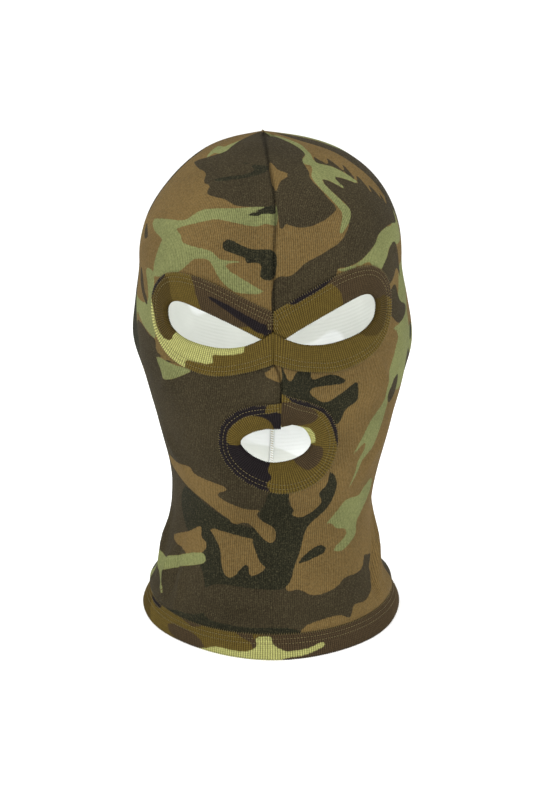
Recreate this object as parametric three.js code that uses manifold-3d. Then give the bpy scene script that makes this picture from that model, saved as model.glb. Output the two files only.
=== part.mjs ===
// A three-hole balaclava: a tube of printed cotton jersey folded round the head and
// closed by one seam that runs from the mouth over the crown and down the back.
// Rib-knit strips bind the two eye openings, the mouth opening and the lower edge.
// Millimetres, +Z up, the face looks along -Y, and z = 0 is the folded edge of the hem.
import * as THREE from 'three';
import { mergeVertices } from 'three/addons/utils/BufferGeometryUtils.js';
import Module from 'manifold-3d';

const wasm = await Module();
wasm.setup();

// ---- driving dimensions ----
const hood = {
  height: 300, // hem edge to crown
  width: 167, // ear to ear, over the jersey
  depth: 200, // brow to back of head
  wall: 1.0, // jersey thickness
  domeHeight: 74, // from the widest level up to the crown
  crownSetBack: 12, // how far the crown lies behind the ears
  domeSquareness: 1.88,
  squareness: 2.25, // of a level section: 2 is an ellipse
  hemSquareness: 1.9,
};
const seam = { slit: 0.3, allowance: 6, faceDrift: 4.4 };
const binding = { leaf: 1.0, fold: 1.2, eyeRoll: 2.0 };
const hem = { height: 14, innerHeight: 12, tuck: 4, floor: 1.6 };
const thread = { radius: 0.35, outerRow: 3.0, innerRow: 5.7, edgeRadius: 0.4 };
const overlock = { thickness: 0.5, cover: 2.5 };
const clearance = 0.3; // between touching layers
const threadLift = 0.8; // a thread row above the band it is sewn through

// Level sections of the worn hood, as shares of the height, width and depth:
// height, half width, front reach, back reach, sideways drift of the middle line.
const sections = [
  [0, 0.49, 0.515, 0.405, 0.002],
  [0.02, 0.482, 0.505, 0.388, 0.002],
  [0.047, 0.457, 0.488, 0.37, 0],
  [0.1, 0.426, 0.447, 0.34, -0.006],
  [0.167, 0.396, 0.413, 0.32, -0.005],
  [0.24, 0.379, 0.405, 0.315, 0.002],
  [0.327, 0.396, 0.435, 0.335, 0.012],
  [0.417, 0.438, 0.4575, 0.385, 0.014],
  [0.5, 0.475, 0.47, 0.445, 0.013],
  [0.583, 0.499, 0.4725, 0.49, 0.008],
  [0.667, 0.499, 0.4725, 0.51, 0.001],
  [0.753, 0.482, 0.47, 0.515, -0.003],
];

// Soft bulges of a plain head under the cloth: reach, side, height, spread across, spread up.
const bulges = [
  { reach: 13, x: 2, z: 158, across: 13, up: 16 }, // nose tip
  { reach: 6, x: 1, z: 178, across: 12, up: 18 }, // nose bridge
  { reach: 3, x: 0, z: 98, across: 30, up: 14 }, // chin
  { reach: 2, x: 1, z: 130, across: 24, up: 14 }, // lips
  { reach: -3.5, x: 34, z: 188, across: 16, up: 14 }, // eye sockets
  { reach: -3.5, x: -34, z: 188, across: 16, up: 14 },
];
const ear = { reach: 4.5, angle: 96, spread: 13, z: 172, up: 24 };

// Openings and the outer edges of their bindings in the front view, x and z.
// The eye is drawn for the +X side; the other one is its mirror image.
const eyeOpening = [
  [7.4, 190.3], [22, 198.2], [38, 205.6], [50, 210.3], [56.5, 210.6], [61, 205.5],
  [60.5, 198], [54, 190.8], [43, 186.6], [29, 184.6], [17, 186.2], [7.4, 190.3],
];
const eyeOuter = [
  [0.15, 206], [12, 212], [26, 219.3], [41, 225.5], [54, 227.4], [62.5, 224],
  [68.5, 214], [69.5, 200], [66.5, 187], [59, 177], [46, 170.8], [32, 168.8],
  [16, 171.4], [0.15, 177.3],
];
const eyePivot = [0, 190];
const mouthOpening = [
  [4.55, 138.9], [9.6, 141], [18, 137], [22.2, 128.5], [18.5, 122.5], [9, 117.8],
  [-2, 117], [-12, 120.8], [-18.8, 128.5], [-12, 135.4], [-3, 138.2], [4.25, 138.3],
];
const mouthOuter = [
  [4.55, 161.5], [19, 154.2], [31.5, 146.4], [37.3, 131], [34, 114], [24, 103],
  [8, 98.2], [-8, 101], [-22, 109.2], [-30.2, 122], [-29.6, 138], [-20, 148.2],
  [-8, 153.2], [4.25, 156.4],
];

const colours = {
  jersey: 0x7d6443,
  rib: 0x77602c,
  hemRib: 0x8a7a3c,
  needleThread: 0xb8aa78,
  edgeThread: 0x6b5f3a,
  seamThread: 0x8f8460,
};

// ---- the worn surface ----
const columns = 42;
const wallRows = 18;
const domeRows = 6;
const frontCrowding = 0.35; // columns stand closer together on the face
const sectionShoulder = hood.height - hood.domeHeight;

const bell = (distance, spread) => Math.exp(-((distance / spread) ** 2));
const scale = [hood.height, hood.width, hood.depth, hood.depth, hood.width];
const stations = sections.map((row) => row.map((share, i) => share * scale[i]));
stations[stations.length - 1][0] = sectionShoulder;

// Smooth value of one column of the stations at height z.
function profile(z, column) {
  const last = stations.length - 1;
  const level = Math.min(Math.max(z, stations[0][0]), stations[last][0]);
  let i = 0;
  while (i < last - 1 && level > stations[i + 1][0]) i += 1;
  const slope = (k) => {
    if (k === last) return 0;
    const before = stations[Math.max(k - 1, 0)];
    const after = stations[k + 1];
    return (after[column] - before[column]) / (after[0] - before[0]);
  };
  const span = stations[i + 1][0] - stations[i][0];
  const t = (level - stations[i][0]) / span;
  const a = stations[i][column];
  const b = stations[i + 1][column];
  return (
    (2 * t ** 3 - 3 * t ** 2 + 1) * a +
    (t ** 3 - 2 * t ** 2 + t) * span * slope(i) +
    (3 * t ** 2 - 2 * t ** 3) * b +
    (t ** 3 - t ** 2) * span * slope(i + 1)
  );
}

// Section of the hood at height z: half width, reaches, middle and squareness.
function sectionAt(z) {
  const rise = Math.min(1, Math.max(0, (z - sectionShoulder) / hood.domeHeight));
  const shrink = (1 - rise ** hood.domeSquareness) ** (1 / hood.domeSquareness);
  return {
    half: profile(z, 1) * shrink,
    front: profile(z, 2) * shrink,
    back: profile(z, 3) * shrink,
    x: profile(z, 4) - 3 * rise ** 2,
    y: hood.crownSetBack * (1 - shrink),
    power: hood.squareness - (hood.squareness - hood.hemSquareness) * bell(z, 22),
  };
}

function faceRelief(x, z) {
  return bulges.reduce(
    (sum, b) => sum + b.reach * bell(x - b.x, b.across) * bell(z - b.z, b.up), 0);
}

// Point of the worn surface at angle theta from the middle of the face, at height z.
function surfacePoint(theta, z) {
  const s = sectionAt(z);
  const sine = Math.sin(theta);
  const cosine = Math.cos(theta);
  if (s.half < 1e-6) return new THREE.Vector3(s.x, s.y, z);
  const reach = cosine > 0 ? s.front : s.back;
  const power = s.power;
  const sum = (Math.abs(sine) / s.half) ** power + (Math.abs(cosine) / reach) ** power;
  const radius = sum ** (-1 / power);
  const degrees = Math.abs(THREE.MathUtils.radToDeg(theta));
  const earOut = ear.reach * bell(degrees - ear.angle, ear.spread) * bell(z - ear.z, ear.up);
  const x = radius * sine + Math.sign(sine) * earOut;
  const facing = Math.min(1, Math.max(0, 2 * cosine));
  return new THREE.Vector3(x + s.x, s.y - radius * cosine - facing * faceRelief(x, z), z);
}

// Outward direction of the surface at the same place, from its two tangents.
function surfaceNormal(theta, z) {
  const step = 0.01;
  const up = Math.min(z + 0.5, hood.height - 0.01);
  const down = up - 1;
  const across = surfacePoint(theta + step, z).sub(surfacePoint(theta - step, z));
  const along = surfacePoint(theta, up).sub(surfacePoint(theta, down));
  return across.cross(along).normalize();
}

// Angle at which the front of the section at height z stands at the given x.
function angleAt(x, z) {
  let low = -Math.PI / 2;
  let high = Math.PI / 2;
  for (let i = 0; i < 40; i += 1) {
    const middle = (low + high) / 2;
    if (surfacePoint(middle, z).x < x) low = middle;
    else high = middle;
  }
  return (low + high) / 2;
}

// Point of the face at x and z, lifted off the surface.
function facePoint(x, z, lift) {
  const theta = angleAt(x, z);
  return surfacePoint(theta, z).addScaledVector(surfaceNormal(theta, z), lift);
}

// ---- solids and booleans ----
function toSolid(geometry) {
  const bare = geometry.clone();
  bare.deleteAttribute('normal');
  bare.deleteAttribute('uv');
  const merged = mergeVertices(bare, 1e-5);
  const triVerts = new Uint32Array(merged.index.array);
  const vertProperties = new Float32Array(merged.attributes.position.array);
  return new wasm.Manifold(new wasm.Mesh({ numProp: 3, vertProperties, triVerts }));
}

function toGeometry(solid) {
  const mesh = solid.getMesh();
  const geometry = new THREE.BufferGeometry();
  geometry.setAttribute('position', new THREE.BufferAttribute(mesh.vertProperties, 3));
  geometry.setIndex(new THREE.BufferAttribute(mesh.triVerts, 1));
  geometry.computeVertexNormals();
  return geometry;
}

// Everything inside the worn surface, moved inwards by inset, down to below the hem.
function headSolid(inset) {
  const angles = Array.from({ length: columns }, (_, i) => {
    const t = (2 * Math.PI * i) / columns - Math.PI;
    return t - frontCrowding * Math.sin(t);
  });
  const levels = Array.from({ length: wallRows + 1 }, (_, i) => (sectionShoulder * i) / wallRows);
  for (let i = 1; i < domeRows; i += 1) {
    const rise = Math.sin((Math.PI / 2) * (i / domeRows));
    levels.push(sectionShoulder + hood.domeHeight * rise);
  }
  const positions = [];
  const ring = (z) => angles.forEach((theta) => {
    const p = surfacePoint(theta, z).addScaledVector(surfaceNormal(theta, z), -inset);
    positions.push(p.x, p.y, p.z);
  });
  ring(0);
  for (let i = 2; i < positions.length; i += 3) positions[i] -= 8;
  levels.forEach(ring);
  const crown = sectionAt(hood.height);
  const rings = levels.length + 1;
  const pole = rings * columns;
  positions.push(crown.x, crown.y, hood.height - inset);
  positions.push(0, 0, positions[2]);
  const index = [];
  for (let r = 0; r < rings - 1; r += 1) {
    for (let c = 0; c < columns; c += 1) {
      const next = (c + 1) % columns;
      const [a, b] = [r * columns + c, r * columns + next];
      index.push(a, b, b + columns, a, b + columns, a + columns);
    }
  }
  for (let c = 0; c < columns; c += 1) {
    const next = (c + 1) % columns;
    const top = (rings - 1) * columns;
    index.push(top + c, top + next, pole);
    index.push(next, c, pole + 1);
  }
  const geometry = new THREE.BufferGeometry();
  geometry.setAttribute('position', new THREE.Float32BufferAttribute(positions, 3));
  geometry.setIndex(index);
  return toSolid(geometry);
}

const layer = (outer, inner) => headSolid(outer).subtract(headSolid(inner));

function block(low, high) {
  const size = high.map((value, i) => value - low[i]);
  const box = new THREE.BoxGeometry(...size);
  box.translate(...low.map((value, i) => value + size[i] / 2));
  return toSolid(box);
}

const levelsBetween = (low, high) => block([-200, -200, low], [200, 200, high]);

// Prism through the front half (or the back half) of the hood over an outline in x and z.
function prism(outline, towardsBack = false) {
  const shape = new THREE.Shape(outline.map(([x, z]) => new THREE.Vector2(x, z)));
  const solid = new THREE.ExtrudeGeometry(shape, { depth: 200, bevelEnabled: false, steps: 1 });
  solid.rotateX(Math.PI / 2);
  if (towardsBack) solid.translate(0, 200, 0);
  return toSolid(solid);
}

// ---- outlines ----
function smoothOutline(points, samples) {
  const spline = new THREE.SplineCurve(points.map(([x, z]) => new THREE.Vector2(x, z)));
  return spline.getSpacedPoints(samples).map((p) => [p.x, p.y]);
}

// Moves an outline outwards over the cloth by a distance measured along the surface.
function widen(outline, distance, closed = true) {
  const count = outline.length;
  const area = outline.reduce((sum, [x, z], i) => {
    const [nx, nz] = outline[(i + 1) % count];
    return sum + x * nz - nx * z;
  }, 0);
  const side = Math.sign(area);
  return outline.map(([x, z], i) => {
    const [ax, az] = outline[closed ? (i + count - 1) % count : Math.max(i - 1, 0)];
    const [bx, bz] = outline[closed ? (i + 1) % count : Math.min(i + 1, count - 1)];
    const slope = facePoint(x + 0.5, z, 0).y - facePoint(x - 0.5, z, 0).y;
    const stretch = 1 + slope ** 2;
    const [tx, tz] = [bx - ax, bz - az];
    const length = Math.sqrt(stretch * tz ** 2 + stretch ** 2 * tx ** 2);
    return [x + (side * distance * tz) / length, z - (side * distance * stretch * tx) / length];
  });
}

function rolled(points, degrees) {
  const angle = THREE.MathUtils.degToRad(degrees);
  const [px, pz] = eyePivot;
  return points.map(([x, z]) => {
    const [dx, dz] = [x - px, z - pz];
    return [
      px + dx * Math.cos(angle) - dz * Math.sin(angle),
      pz + dx * Math.sin(angle) + dz * Math.cos(angle),
    ];
  });
}

// ---- the centre seam ----
// The seam stands at x = 0 between the eyes and drifts towards +X over the nose.
const bridgeLevel = 172;
const seamX = (z) => seam.faceDrift / (1 + Math.exp((z - bridgeLevel) / 3));
function crownX(z) {
  const level = Math.min(z, hood.height);
  return sectionAt(level).x * THREE.MathUtils.smoothstep(z, 250, 290);
}

// Strip of the given half width along the seam line from low to high.
function seamStrip(halfWidth, low, high, drift) {
  const rows = 16;
  const levels = Array.from({ length: rows + 1 }, (_, i) => low + ((high - low) * i) / rows);
  const middle = (z) => (drift ? seamX(z) : 0) + crownX(z);
  const right = levels.map((z) => [middle(z) + halfWidth, z]);
  const left = levels.map((z) => [middle(z) - halfWidth, z]).reverse();
  return [...right, ...left];
}

function seamZone(halfWidth, frontLow, backLow) {
  const top = hood.height + 5;
  const front = prism(seamStrip(halfWidth, frontLow, top, true));
  return front.add(prism(seamStrip(halfWidth, backLow, top, false), true));
}

// ---- openings ----
const outlineSamples = 30;

// side is 1 for the +X eye, which sits higher at its outer end, and -1 for the other.
function makeEye(side) {
  const place = (points) => rolled(points, side * binding.eyeRoll)
    .map(([x, z]) => [side * Math.max(x, seam.slit / 2), z]);
  const opening = place(smoothOutline(eyeOpening, outlineSamples)).slice(0, -1);
  const outer = place(smoothOutline(eyeOuter, outlineSamples));
  const tip = opening[0];
  const mitreEnd = [side * -2, tip[1] + 5];
  return { opening, outer, cut: [tip, mitreEnd] };
}

const rightEye = makeEye(-1);
const leftEye = makeEye(1);
const mouth = {
  opening: smoothOutline(mouthOpening, outlineSamples).slice(0, -1),
  outer: smoothOutline(mouthOuter, outlineSamples),
  cut: [[seam.faceDrift, 130], [seam.faceDrift, 175]],
};

// Thin prism along a line, where the two ends of a binding strip meet.
function cutAlong([[ax, az], [bx, bz]], width) {
  const length = Math.hypot(bx - ax, bz - az);
  const [nx, nz] = [(-(bz - az) / length) * (width / 2), ((bx - ax) / length) * (width / 2)];
  const [sx, sz] = [((bx - ax) / length) * 2, ((bz - az) / length) * 2];
  return prism([
    [ax - sx + nx, az - sz + nz],
    [ax - sx - nx, az - sz - nz],
    [bx - nx, bz - nz],
    [bx + nx, bz + nz],
  ]);
}

// ---- sub-parts ----
const mouthTop = 120;
const shellBottom = hem.tuck;
const ridgeBottom = hem.height + 2;
const bandReach = clearance + binding.leaf;

function makeShell() {
  const rawEdge = binding.fold + clearance;
  let shell = layer(0, hood.wall);
  const allowances = layer(hood.wall - 0.2, hood.wall + seam.allowance)
    .intersect(seamZone(seam.slit / 2 + hood.wall, mouthTop, ridgeBottom));
  shell = shell.add(allowances);
  [rightEye, leftEye, mouth].forEach((hole) => {
    shell = shell.subtract(prism(widen(hole.opening, rawEdge)));
  });
  shell = shell.subtract(seamZone(seam.slit / 2, mouthTop, -20));
  return shell.intersect(levelsBetween(shellBottom, hood.height + 10));
}

// A strip folded over the raw edge: one leaf outside, one inside, joined at the opening.
function makeBinding(hole) {
  const insideReach = hood.wall + bandReach;
  const ring = prism(hole.outer).subtract(prism(hole.opening));
  const jerseySlot = layer(-clearance, hood.wall + clearance)
    .subtract(prism(widen(hole.opening, binding.fold)));
  const insideSeam = layer(hood.wall + clearance - 0.1, insideReach + 1)
    .intersect(seamZone(seam.slit / 2 + hood.wall + clearance, mouthTop, 60));
  return layer(-bandReach, insideReach)
    .intersect(ring)
    .subtract(jerseySlot)
    .subtract(insideSeam)
    .subtract(seamZone(seam.slit / 2, mouthTop, 60))
    .subtract(cutAlong(hole.cut, seam.slit));
}

function makeHemBand() {
  const insideReach = hood.wall + bandReach;
  const outside = layer(-bandReach, -clearance).intersect(levelsBetween(0, hem.height));
  const inside = layer(hood.wall + clearance, insideReach)
    .intersect(levelsBetween(0, hem.innerHeight));
  const fold = layer(-bandReach, insideReach).intersect(levelsBetween(0, hem.floor));
  const ends = prism(seamStrip(seam.slit / 2, -20, 40, false), true);
  return outside.add(inside).add(fold).subtract(ends);
}

// Thread hooding the raw edges of the two seam allowances, inside the hood.
function makeSeamOverlock() {
  const crest = hood.wall + seam.allowance;
  const halfRidge = seam.slit / 2 + hood.wall;
  const lowFront = mouthTop + 45;
  const lowBack = ridgeBottom + 1;
  const outer = layer(crest - overlock.cover, crest + clearance + overlock.thickness)
    .intersect(seamZone(halfRidge + clearance + overlock.thickness, lowFront, lowBack));
  const core = layer(crest - overlock.cover - 1, crest + clearance)
    .intersect(seamZone(halfRidge + clearance, lowFront - 5, lowBack - 5));
  return outer.subtract(core);
}

// A run of thread through the given points, as a thin tube.
function makeThread(points, radius, steps) {
  const section = new THREE.Shape(new THREE.EllipseCurve(0, 0, radius, radius).getPoints(4));
  const extrudePath = new THREE.CatmullRomCurve3(points);
  return new THREE.ExtrudeGeometry(section, { steps, extrudePath, bevelEnabled: false });
}

// Thread row at a distance inwards from the binding's outer edge (negative is outwards).
function makeBindingThread(hole, inwards, radius, lift) {
  const skip = 1;
  const route = widen(hole.outer, -inwards, false)
    .slice(skip, -skip)
    .map(([x, z]) => facePoint(x, z, lift + radius));
  return makeThread(route, radius, 30);
}

function makeHemThread(z, radius, lift) {
  const count = 36;
  const spare = 0.02;
  const points = Array.from({ length: count + 1 }, (_, i) => {
    const t = -Math.PI + spare + ((2 * Math.PI - 2 * spare) * i) / count;
    return surfacePoint(t, z).addScaledVector(surfaceNormal(t, z), lift + radius);
  });
  return makeThread(points, radius, 36);
}

// ---- assembly ----
const balaclava = new THREE.Group();

function addPart(name, geometry, color, roughness) {
  const material = new THREE.MeshStandardMaterial({ color, roughness, metalness: 0 });
  const mesh = new THREE.Mesh(geometry, material);
  mesh.name = name;
  balaclava.add(mesh);
}

addPart('hood_shell', toGeometry(makeShell()), colours.jersey, 0.95);
const bandTop = bandReach + threadLift;
const holes = { right_eye: rightEye, left_eye: leftEye, mouth };
Object.entries(holes).forEach(([name, hole]) => {
  const { radius, outerRow, innerRow, edgeRadius } = thread;
  const row = (inwards) => makeBindingThread(hole, inwards, radius, bandTop);
  const edge = makeBindingThread(hole, -clearance - 3 * edgeRadius, edgeRadius, threadLift);
  addPart(`${name}_binding`, toGeometry(makeBinding(hole)), colours.rib, 0.95);
  addPart(`${name}_outer_needle_thread`, row(outerRow), colours.needleThread, 0.8);
  addPart(`${name}_inner_needle_thread`, row(innerRow), colours.needleThread, 0.8);
  addPart(`${name}_edge_thread`, edge, colours.edgeThread, 0.85);
});
addPart('hem_band', toGeometry(makeHemBand()), colours.hemRib, 0.95);
const hemRow = (down) => makeHemThread(hem.height - down, thread.radius, bandTop);
const hemEdgeLevel = hem.height + clearance + 2 * thread.edgeRadius;
const hemEdge = makeHemThread(hemEdgeLevel, thread.edgeRadius, threadLift);
addPart('hem_upper_needle_thread', hemRow(thread.outerRow), colours.needleThread, 0.8);
addPart('hem_lower_needle_thread', hemRow(thread.innerRow), colours.needleThread, 0.8);
addPart('hem_edge_thread', hemEdge, colours.edgeThread, 0.85);
addPart('centre_seam_overlock', toGeometry(makeSeamOverlock()), colours.seamThread, 0.85);

// The origin stands on the floor, under the middle of the hood's own box.
const middle = new THREE.Box3().setFromObject(balaclava).getCenter(new THREE.Vector3());
balaclava.position.set(-middle.x, -middle.y, 0);

export default balaclava;
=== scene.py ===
# The looks of a three-hole balaclava of camouflage-printed cotton jersey, worn shape.
# Lengths below are millimetres in the hood's own frame: the face looks along -Y, up is +Z
# and z = 0 is the folded edge of the hem. Meshes are written in metres.
import math

import bmesh
import bpy
import numpy as np
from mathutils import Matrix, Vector, noise


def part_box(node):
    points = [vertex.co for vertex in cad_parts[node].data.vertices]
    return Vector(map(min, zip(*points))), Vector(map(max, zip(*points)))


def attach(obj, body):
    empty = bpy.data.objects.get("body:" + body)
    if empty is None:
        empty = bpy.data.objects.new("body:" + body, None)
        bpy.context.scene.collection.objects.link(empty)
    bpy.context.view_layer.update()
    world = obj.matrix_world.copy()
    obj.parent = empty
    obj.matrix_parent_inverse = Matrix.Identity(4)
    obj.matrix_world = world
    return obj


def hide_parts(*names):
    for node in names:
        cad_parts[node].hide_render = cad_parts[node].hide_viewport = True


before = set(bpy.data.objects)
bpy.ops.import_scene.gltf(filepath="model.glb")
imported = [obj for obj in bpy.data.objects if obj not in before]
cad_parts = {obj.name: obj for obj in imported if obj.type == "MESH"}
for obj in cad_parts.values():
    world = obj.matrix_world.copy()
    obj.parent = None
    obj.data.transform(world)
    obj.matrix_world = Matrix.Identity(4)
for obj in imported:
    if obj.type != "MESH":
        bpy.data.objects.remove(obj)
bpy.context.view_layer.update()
print("frame loaded")

mm = 0.001

# ---- the worn surface ----
hood = {
    "height": 300.0,
    "width": 167.0,
    "depth": 200.0,
    "wall": 1.0,
    "domeHeight": 74.0,
    "crownSetBack": 12.0,
    "crownDrift": -4.5,
    "driftPower": 5,  # the drift gathers near the top
    "domeRound": 1.89,  # front, back and -X side of the crown
    "domeRoundLeft": 2.2,  # the fuller +X side
    "peak": 0.72,  # how much the cloth tents under the crown seam
    "peakShare": 0.03,  # the top share of the crown that tents
    "squareness": 2.25,
    "hemSquareness": 1.9,
    "hemReach": 22.0,  # how far up the hem's squareness is felt
    "crownSpan": 90.0,  # half the width of the crown, for the cloth's length over it
    "crownCurve": 1.88,
}
# height, half width, front reach, back reach, sideways drift, as shares of the sizes
sections = np.array([
    [0, 0.49, 0.515, 0.405, 0.002],
    [0.02, 0.482, 0.505, 0.388, 0.002],
    [0.047, 0.457, 0.488, 0.37, 0],
    [0.1, 0.426, 0.447, 0.34, -0.006],
    [0.167, 0.396, 0.413, 0.32, -0.005],
    [0.24, 0.379, 0.405, 0.315, 0.002],
    [0.327, 0.396, 0.435, 0.335, 0.012],
    [0.417, 0.438, 0.4575, 0.385, 0.014],
    [0.5, 0.475, 0.47, 0.445, 0.013],
    [0.583, 0.499, 0.4725, 0.49, 0.008],
    [0.667, 0.499, 0.4725, 0.51, 0.001],
    [0.753, 0.482, 0.47, 0.515, -0.003],
])
# reach, side, height, spread across, spread up of the soft bulges of a plain head
bulges = [
    (13, 2, 158, 13, 16),
    (6, 1, 178, 12, 18),
    (3, 0, 98, 30, 14),
    (2, 1, 130, 24, 14),
    (-3.5, 34, 188, 16, 14),
    (-3.5, -34, 188, 16, 14),
]
ear = {"reach": 4.5, "angle": 96, "spread": 13, "z": 172, "up": 24}
shoulder = hood["height"] - hood["domeHeight"]
stations = sections * [hood[k] for k in ("height", "width", "depth", "depth", "width")]
stations[-1, 0] = shoulder
slopes = np.zeros_like(stations)
for k in range(len(stations) - 1):
    before = stations[max(k - 1, 0)]
    slopes[k] = (stations[k + 1] - before) / (stations[k + 1, 0] - before[0])


def bell(distance, spread):
    return np.exp(-((distance / spread) ** 2))


def profile(z, column):
    level = np.clip(z, 0, shoulder)
    i = np.clip(np.searchsorted(stations[:, 0], level) - 1, 0, len(stations) - 2)
    span = stations[i + 1, 0] - stations[i, 0]
    t = (level - stations[i, 0]) / span
    start = (2 * t**3 - 3 * t**2 + 1) * stations[i, column]
    leave = (t**3 - 2 * t**2 + t) * span * slopes[i, column]
    end = (3 * t**2 - 2 * t**3) * stations[i + 1, column]
    arrive = (t**3 - t**2) * span * slopes[i + 1, column]
    return start + leave + end + arrive


def dome(rise, power):
    tent = 1 - hood["peak"] * np.exp(-(1 - rise) / hood["peakShare"])
    return np.maximum(1 - rise**power, 0) ** (1 / power) * tent


def surfacePoint(theta, z):
    theta, z = np.broadcast_arrays(np.asarray(theta, float), np.asarray(z, float))
    rise = np.clip((z - shoulder) / hood["domeHeight"], 0, 1)
    shrink = dome(rise, hood["domeRound"])
    sine, cosine = np.sin(theta), np.cos(theta)
    sideShrink = np.where(sine > 0, dome(rise, hood["domeRoundLeft"]), shrink)
    half = np.maximum(profile(z, 1) * sideShrink, 1e-6)
    front = profile(z, 2) * shrink
    back = profile(z, 3) * shrink
    reach = np.maximum(np.where(cosine > 0, front, back), 1e-6)
    power = hood["squareness"] - (hood["squareness"] - hood["hemSquareness"]) * bell(z, hood["hemReach"])
    radius = (np.abs(sine / half) ** power + np.abs(cosine / reach) ** power) ** (-1 / power)
    angle = np.abs(np.degrees(theta))
    earOut = ear["reach"] * bell(angle - ear["angle"], ear["spread"]) * bell(z - ear["z"], ear["up"])
    x = radius * sine + np.sign(sine) * earOut
    relief = sum(b[0] * bell(x - b[1], b[3]) * bell(z - b[2], b[4]) for b in bulges)
    y = hood["crownSetBack"] * (1 - shrink) - radius * cosine - np.clip(2 * cosine, 0, 1) * relief
    return np.stack([x + profile(z, 4) + hood["crownDrift"] * rise ** hood["driftPower"], y, z], -1)


def surfaceNormal(theta, z):
    up = np.minimum(np.asarray(z, float) + 0.5, hood["height"] - 0.05)
    across = surfacePoint(theta + 0.01, z) - surfacePoint(theta - 0.01, z)
    along = surfacePoint(theta, up) - surfacePoint(theta, up - 1)
    normal = np.cross(across, along)
    return normal / np.maximum(np.linalg.norm(normal, axis=-1, keepdims=True), 1e-12)


def angleAt(x, z):
    x, z = np.broadcast_arrays(np.asarray(x, float), np.asarray(z, float))
    low = np.full(x.shape, -math.pi / 2)
    high = -low
    for _ in range(30):
        middle = (low + high) / 2
        left = surfacePoint(middle, z)[..., 0] < x
        low = np.where(left, middle, low)
        high = np.where(left, high, middle)
    return (low + high) / 2


# Cloth coordinates: s along a level section from the middle of the face, v up the cloth.
fineAngles = np.linspace(-math.pi, math.pi, 721)
arcLevels = np.linspace(0, shoulder, 114)
arcSteps = np.linalg.norm(
    np.diff(surfacePoint(fineAngles[None, :], arcLevels[:, None]), axis=1), axis=2)
arcLengths = np.concatenate([np.zeros((len(arcLevels), 1)), np.cumsum(arcSteps, 1)], 1)
arcLengths -= arcLengths[:, 360:361]
domeTurns = np.linspace(0, math.pi / 2, 60)
domeRise = np.sin(domeTurns)
domeReach = hood["crownSpan"] * (
    1 - np.minimum(domeRise, 1) ** hood["crownCurve"]) ** (1 / hood["crownCurve"])
domeArc = np.concatenate([
    [0], np.cumsum(np.hypot(np.diff(hood["domeHeight"] * domeRise), np.diff(domeReach)))])


def clothPlace(theta, z):
    row = np.clip(z / shoulder, 0, 1) * (len(arcLevels) - 1)
    column = (theta + math.pi) / (2 * math.pi) * (len(fineAngles) - 1)
    r0 = np.minimum(row.astype(int), len(arcLevels) - 2)
    c0 = np.clip(column.astype(int), 0, len(fineAngles) - 2)
    fr, fc = row - r0, column - c0
    low = arcLengths[r0, c0] * (1 - fc) + arcLengths[r0, c0 + 1] * fc
    high = arcLengths[r0 + 1, c0] * (1 - fc) + arcLengths[r0 + 1, c0 + 1] * fc
    rise = np.clip((z - shoulder) / hood["domeHeight"], 0, 1)
    v = np.where(z <= shoulder, z, shoulder + np.interp(rise, domeRise, domeArc))
    return low * (1 - fr) + high * fr, v


# The hood's own box is centred over the origin, as the frame's shell is.
probe = surfacePoint(fineAngles[None, :], np.linspace(4, 299, 120)[:, None]).reshape(-1, 3)
shellLow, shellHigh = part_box("hood_shell")
shift = np.array([
    (shellLow[i] + shellHigh[i]) / 2 / mm - (probe[:, i].min() + probe[:, i].max()) / 2
    for i in range(2)] + [0.0])
print("surface ready, shift", shift.round(2))


# ---- mesh and outline helpers ----
def inMetres(points):
    return (np.asarray(points, float) + shift) * mm


def makeObject(name, points, edges=(), faces=()):
    mesh = bpy.data.meshes.new(name)
    mesh.from_pydata(inMetres(points).tolist(), list(edges), [list(map(int, f)) for f in faces])
    mesh.validate()
    mesh.polygons.foreach_set("use_smooth", [True] * len(mesh.polygons))
    mesh.update()
    made = bpy.data.objects.new(name, mesh)
    bpy.context.scene.collection.objects.link(made)
    return made


def addAttribute(made, name, values, kind="FLOAT"):
    attribute = made.data.attributes.new(name, kind, "POINT")
    field = "vector" if kind == "FLOAT_VECTOR" else "value"
    attribute.data.foreach_set(field, np.asarray(values, np.float32).ravel())


def applied(made):
    graph = bpy.context.evaluated_depsgraph_get()
    graph.update()
    mesh = bpy.data.meshes.new_from_object(made.evaluated_get(graph))
    mesh.name = made.name
    made.modifiers.clear()
    made.data = mesh
    return made


def smoothCurve(points, samples, closed):
    points = np.asarray(points, float)
    count = len(points)
    spans = count if closed else count - 1
    out = []
    for i in range(spans):
        if closed:
            a, b, c, d = (points[(i + k) % count] for k in (-1, 0, 1, 2))
        else:
            a, b, c, d = (points[min(max(i + k, 0), count - 1)] for k in (-1, 0, 1, 2))
        for t in np.arange(samples) / samples:
            out.append(0.5 * (2 * b + (c - a) * t + (2 * a - 5 * b + 4 * c - d) * t**2
                              + (3 * b - a - 3 * c + d) * t**3))
    if not closed:
        out.append(points[-1])
    return np.array(out)


farOff = 12.0


# Distance to a closed outline, negative inside, and no more than farOff away from it.
def signedDistance(places, loop):
    result = np.full(len(places), farOff)
    low, high = loop.min(0) - farOff, loop.max(0) + farOff
    near = np.all((places > low) & (places < high), axis=1)
    p = places[near]
    if len(p) == 0:
        return result
    best = np.full(len(p), 1e9)
    inside = np.zeros(len(p), bool)
    for a, b in zip(loop, np.roll(loop, -1, axis=0)):
        side = b - a
        t = np.clip(((p - a) @ side) / max(side @ side, 1e-12), 0, 1)
        best = np.minimum(best, ((p - a - t[:, None] * side) ** 2).sum(1))
        if a[1] != b[1]:
            crosses = (a[1] > p[:, 1]) != (b[1] > p[:, 1])
            inside ^= crosses & (p[:, 0] < (p[:, 1] - a[1]) * side[0] / side[1] + a[0])
    distance = np.sqrt(best)
    result[near] = np.clip(np.where(inside, -distance, distance), -farOff, farOff)
    return result


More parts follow.
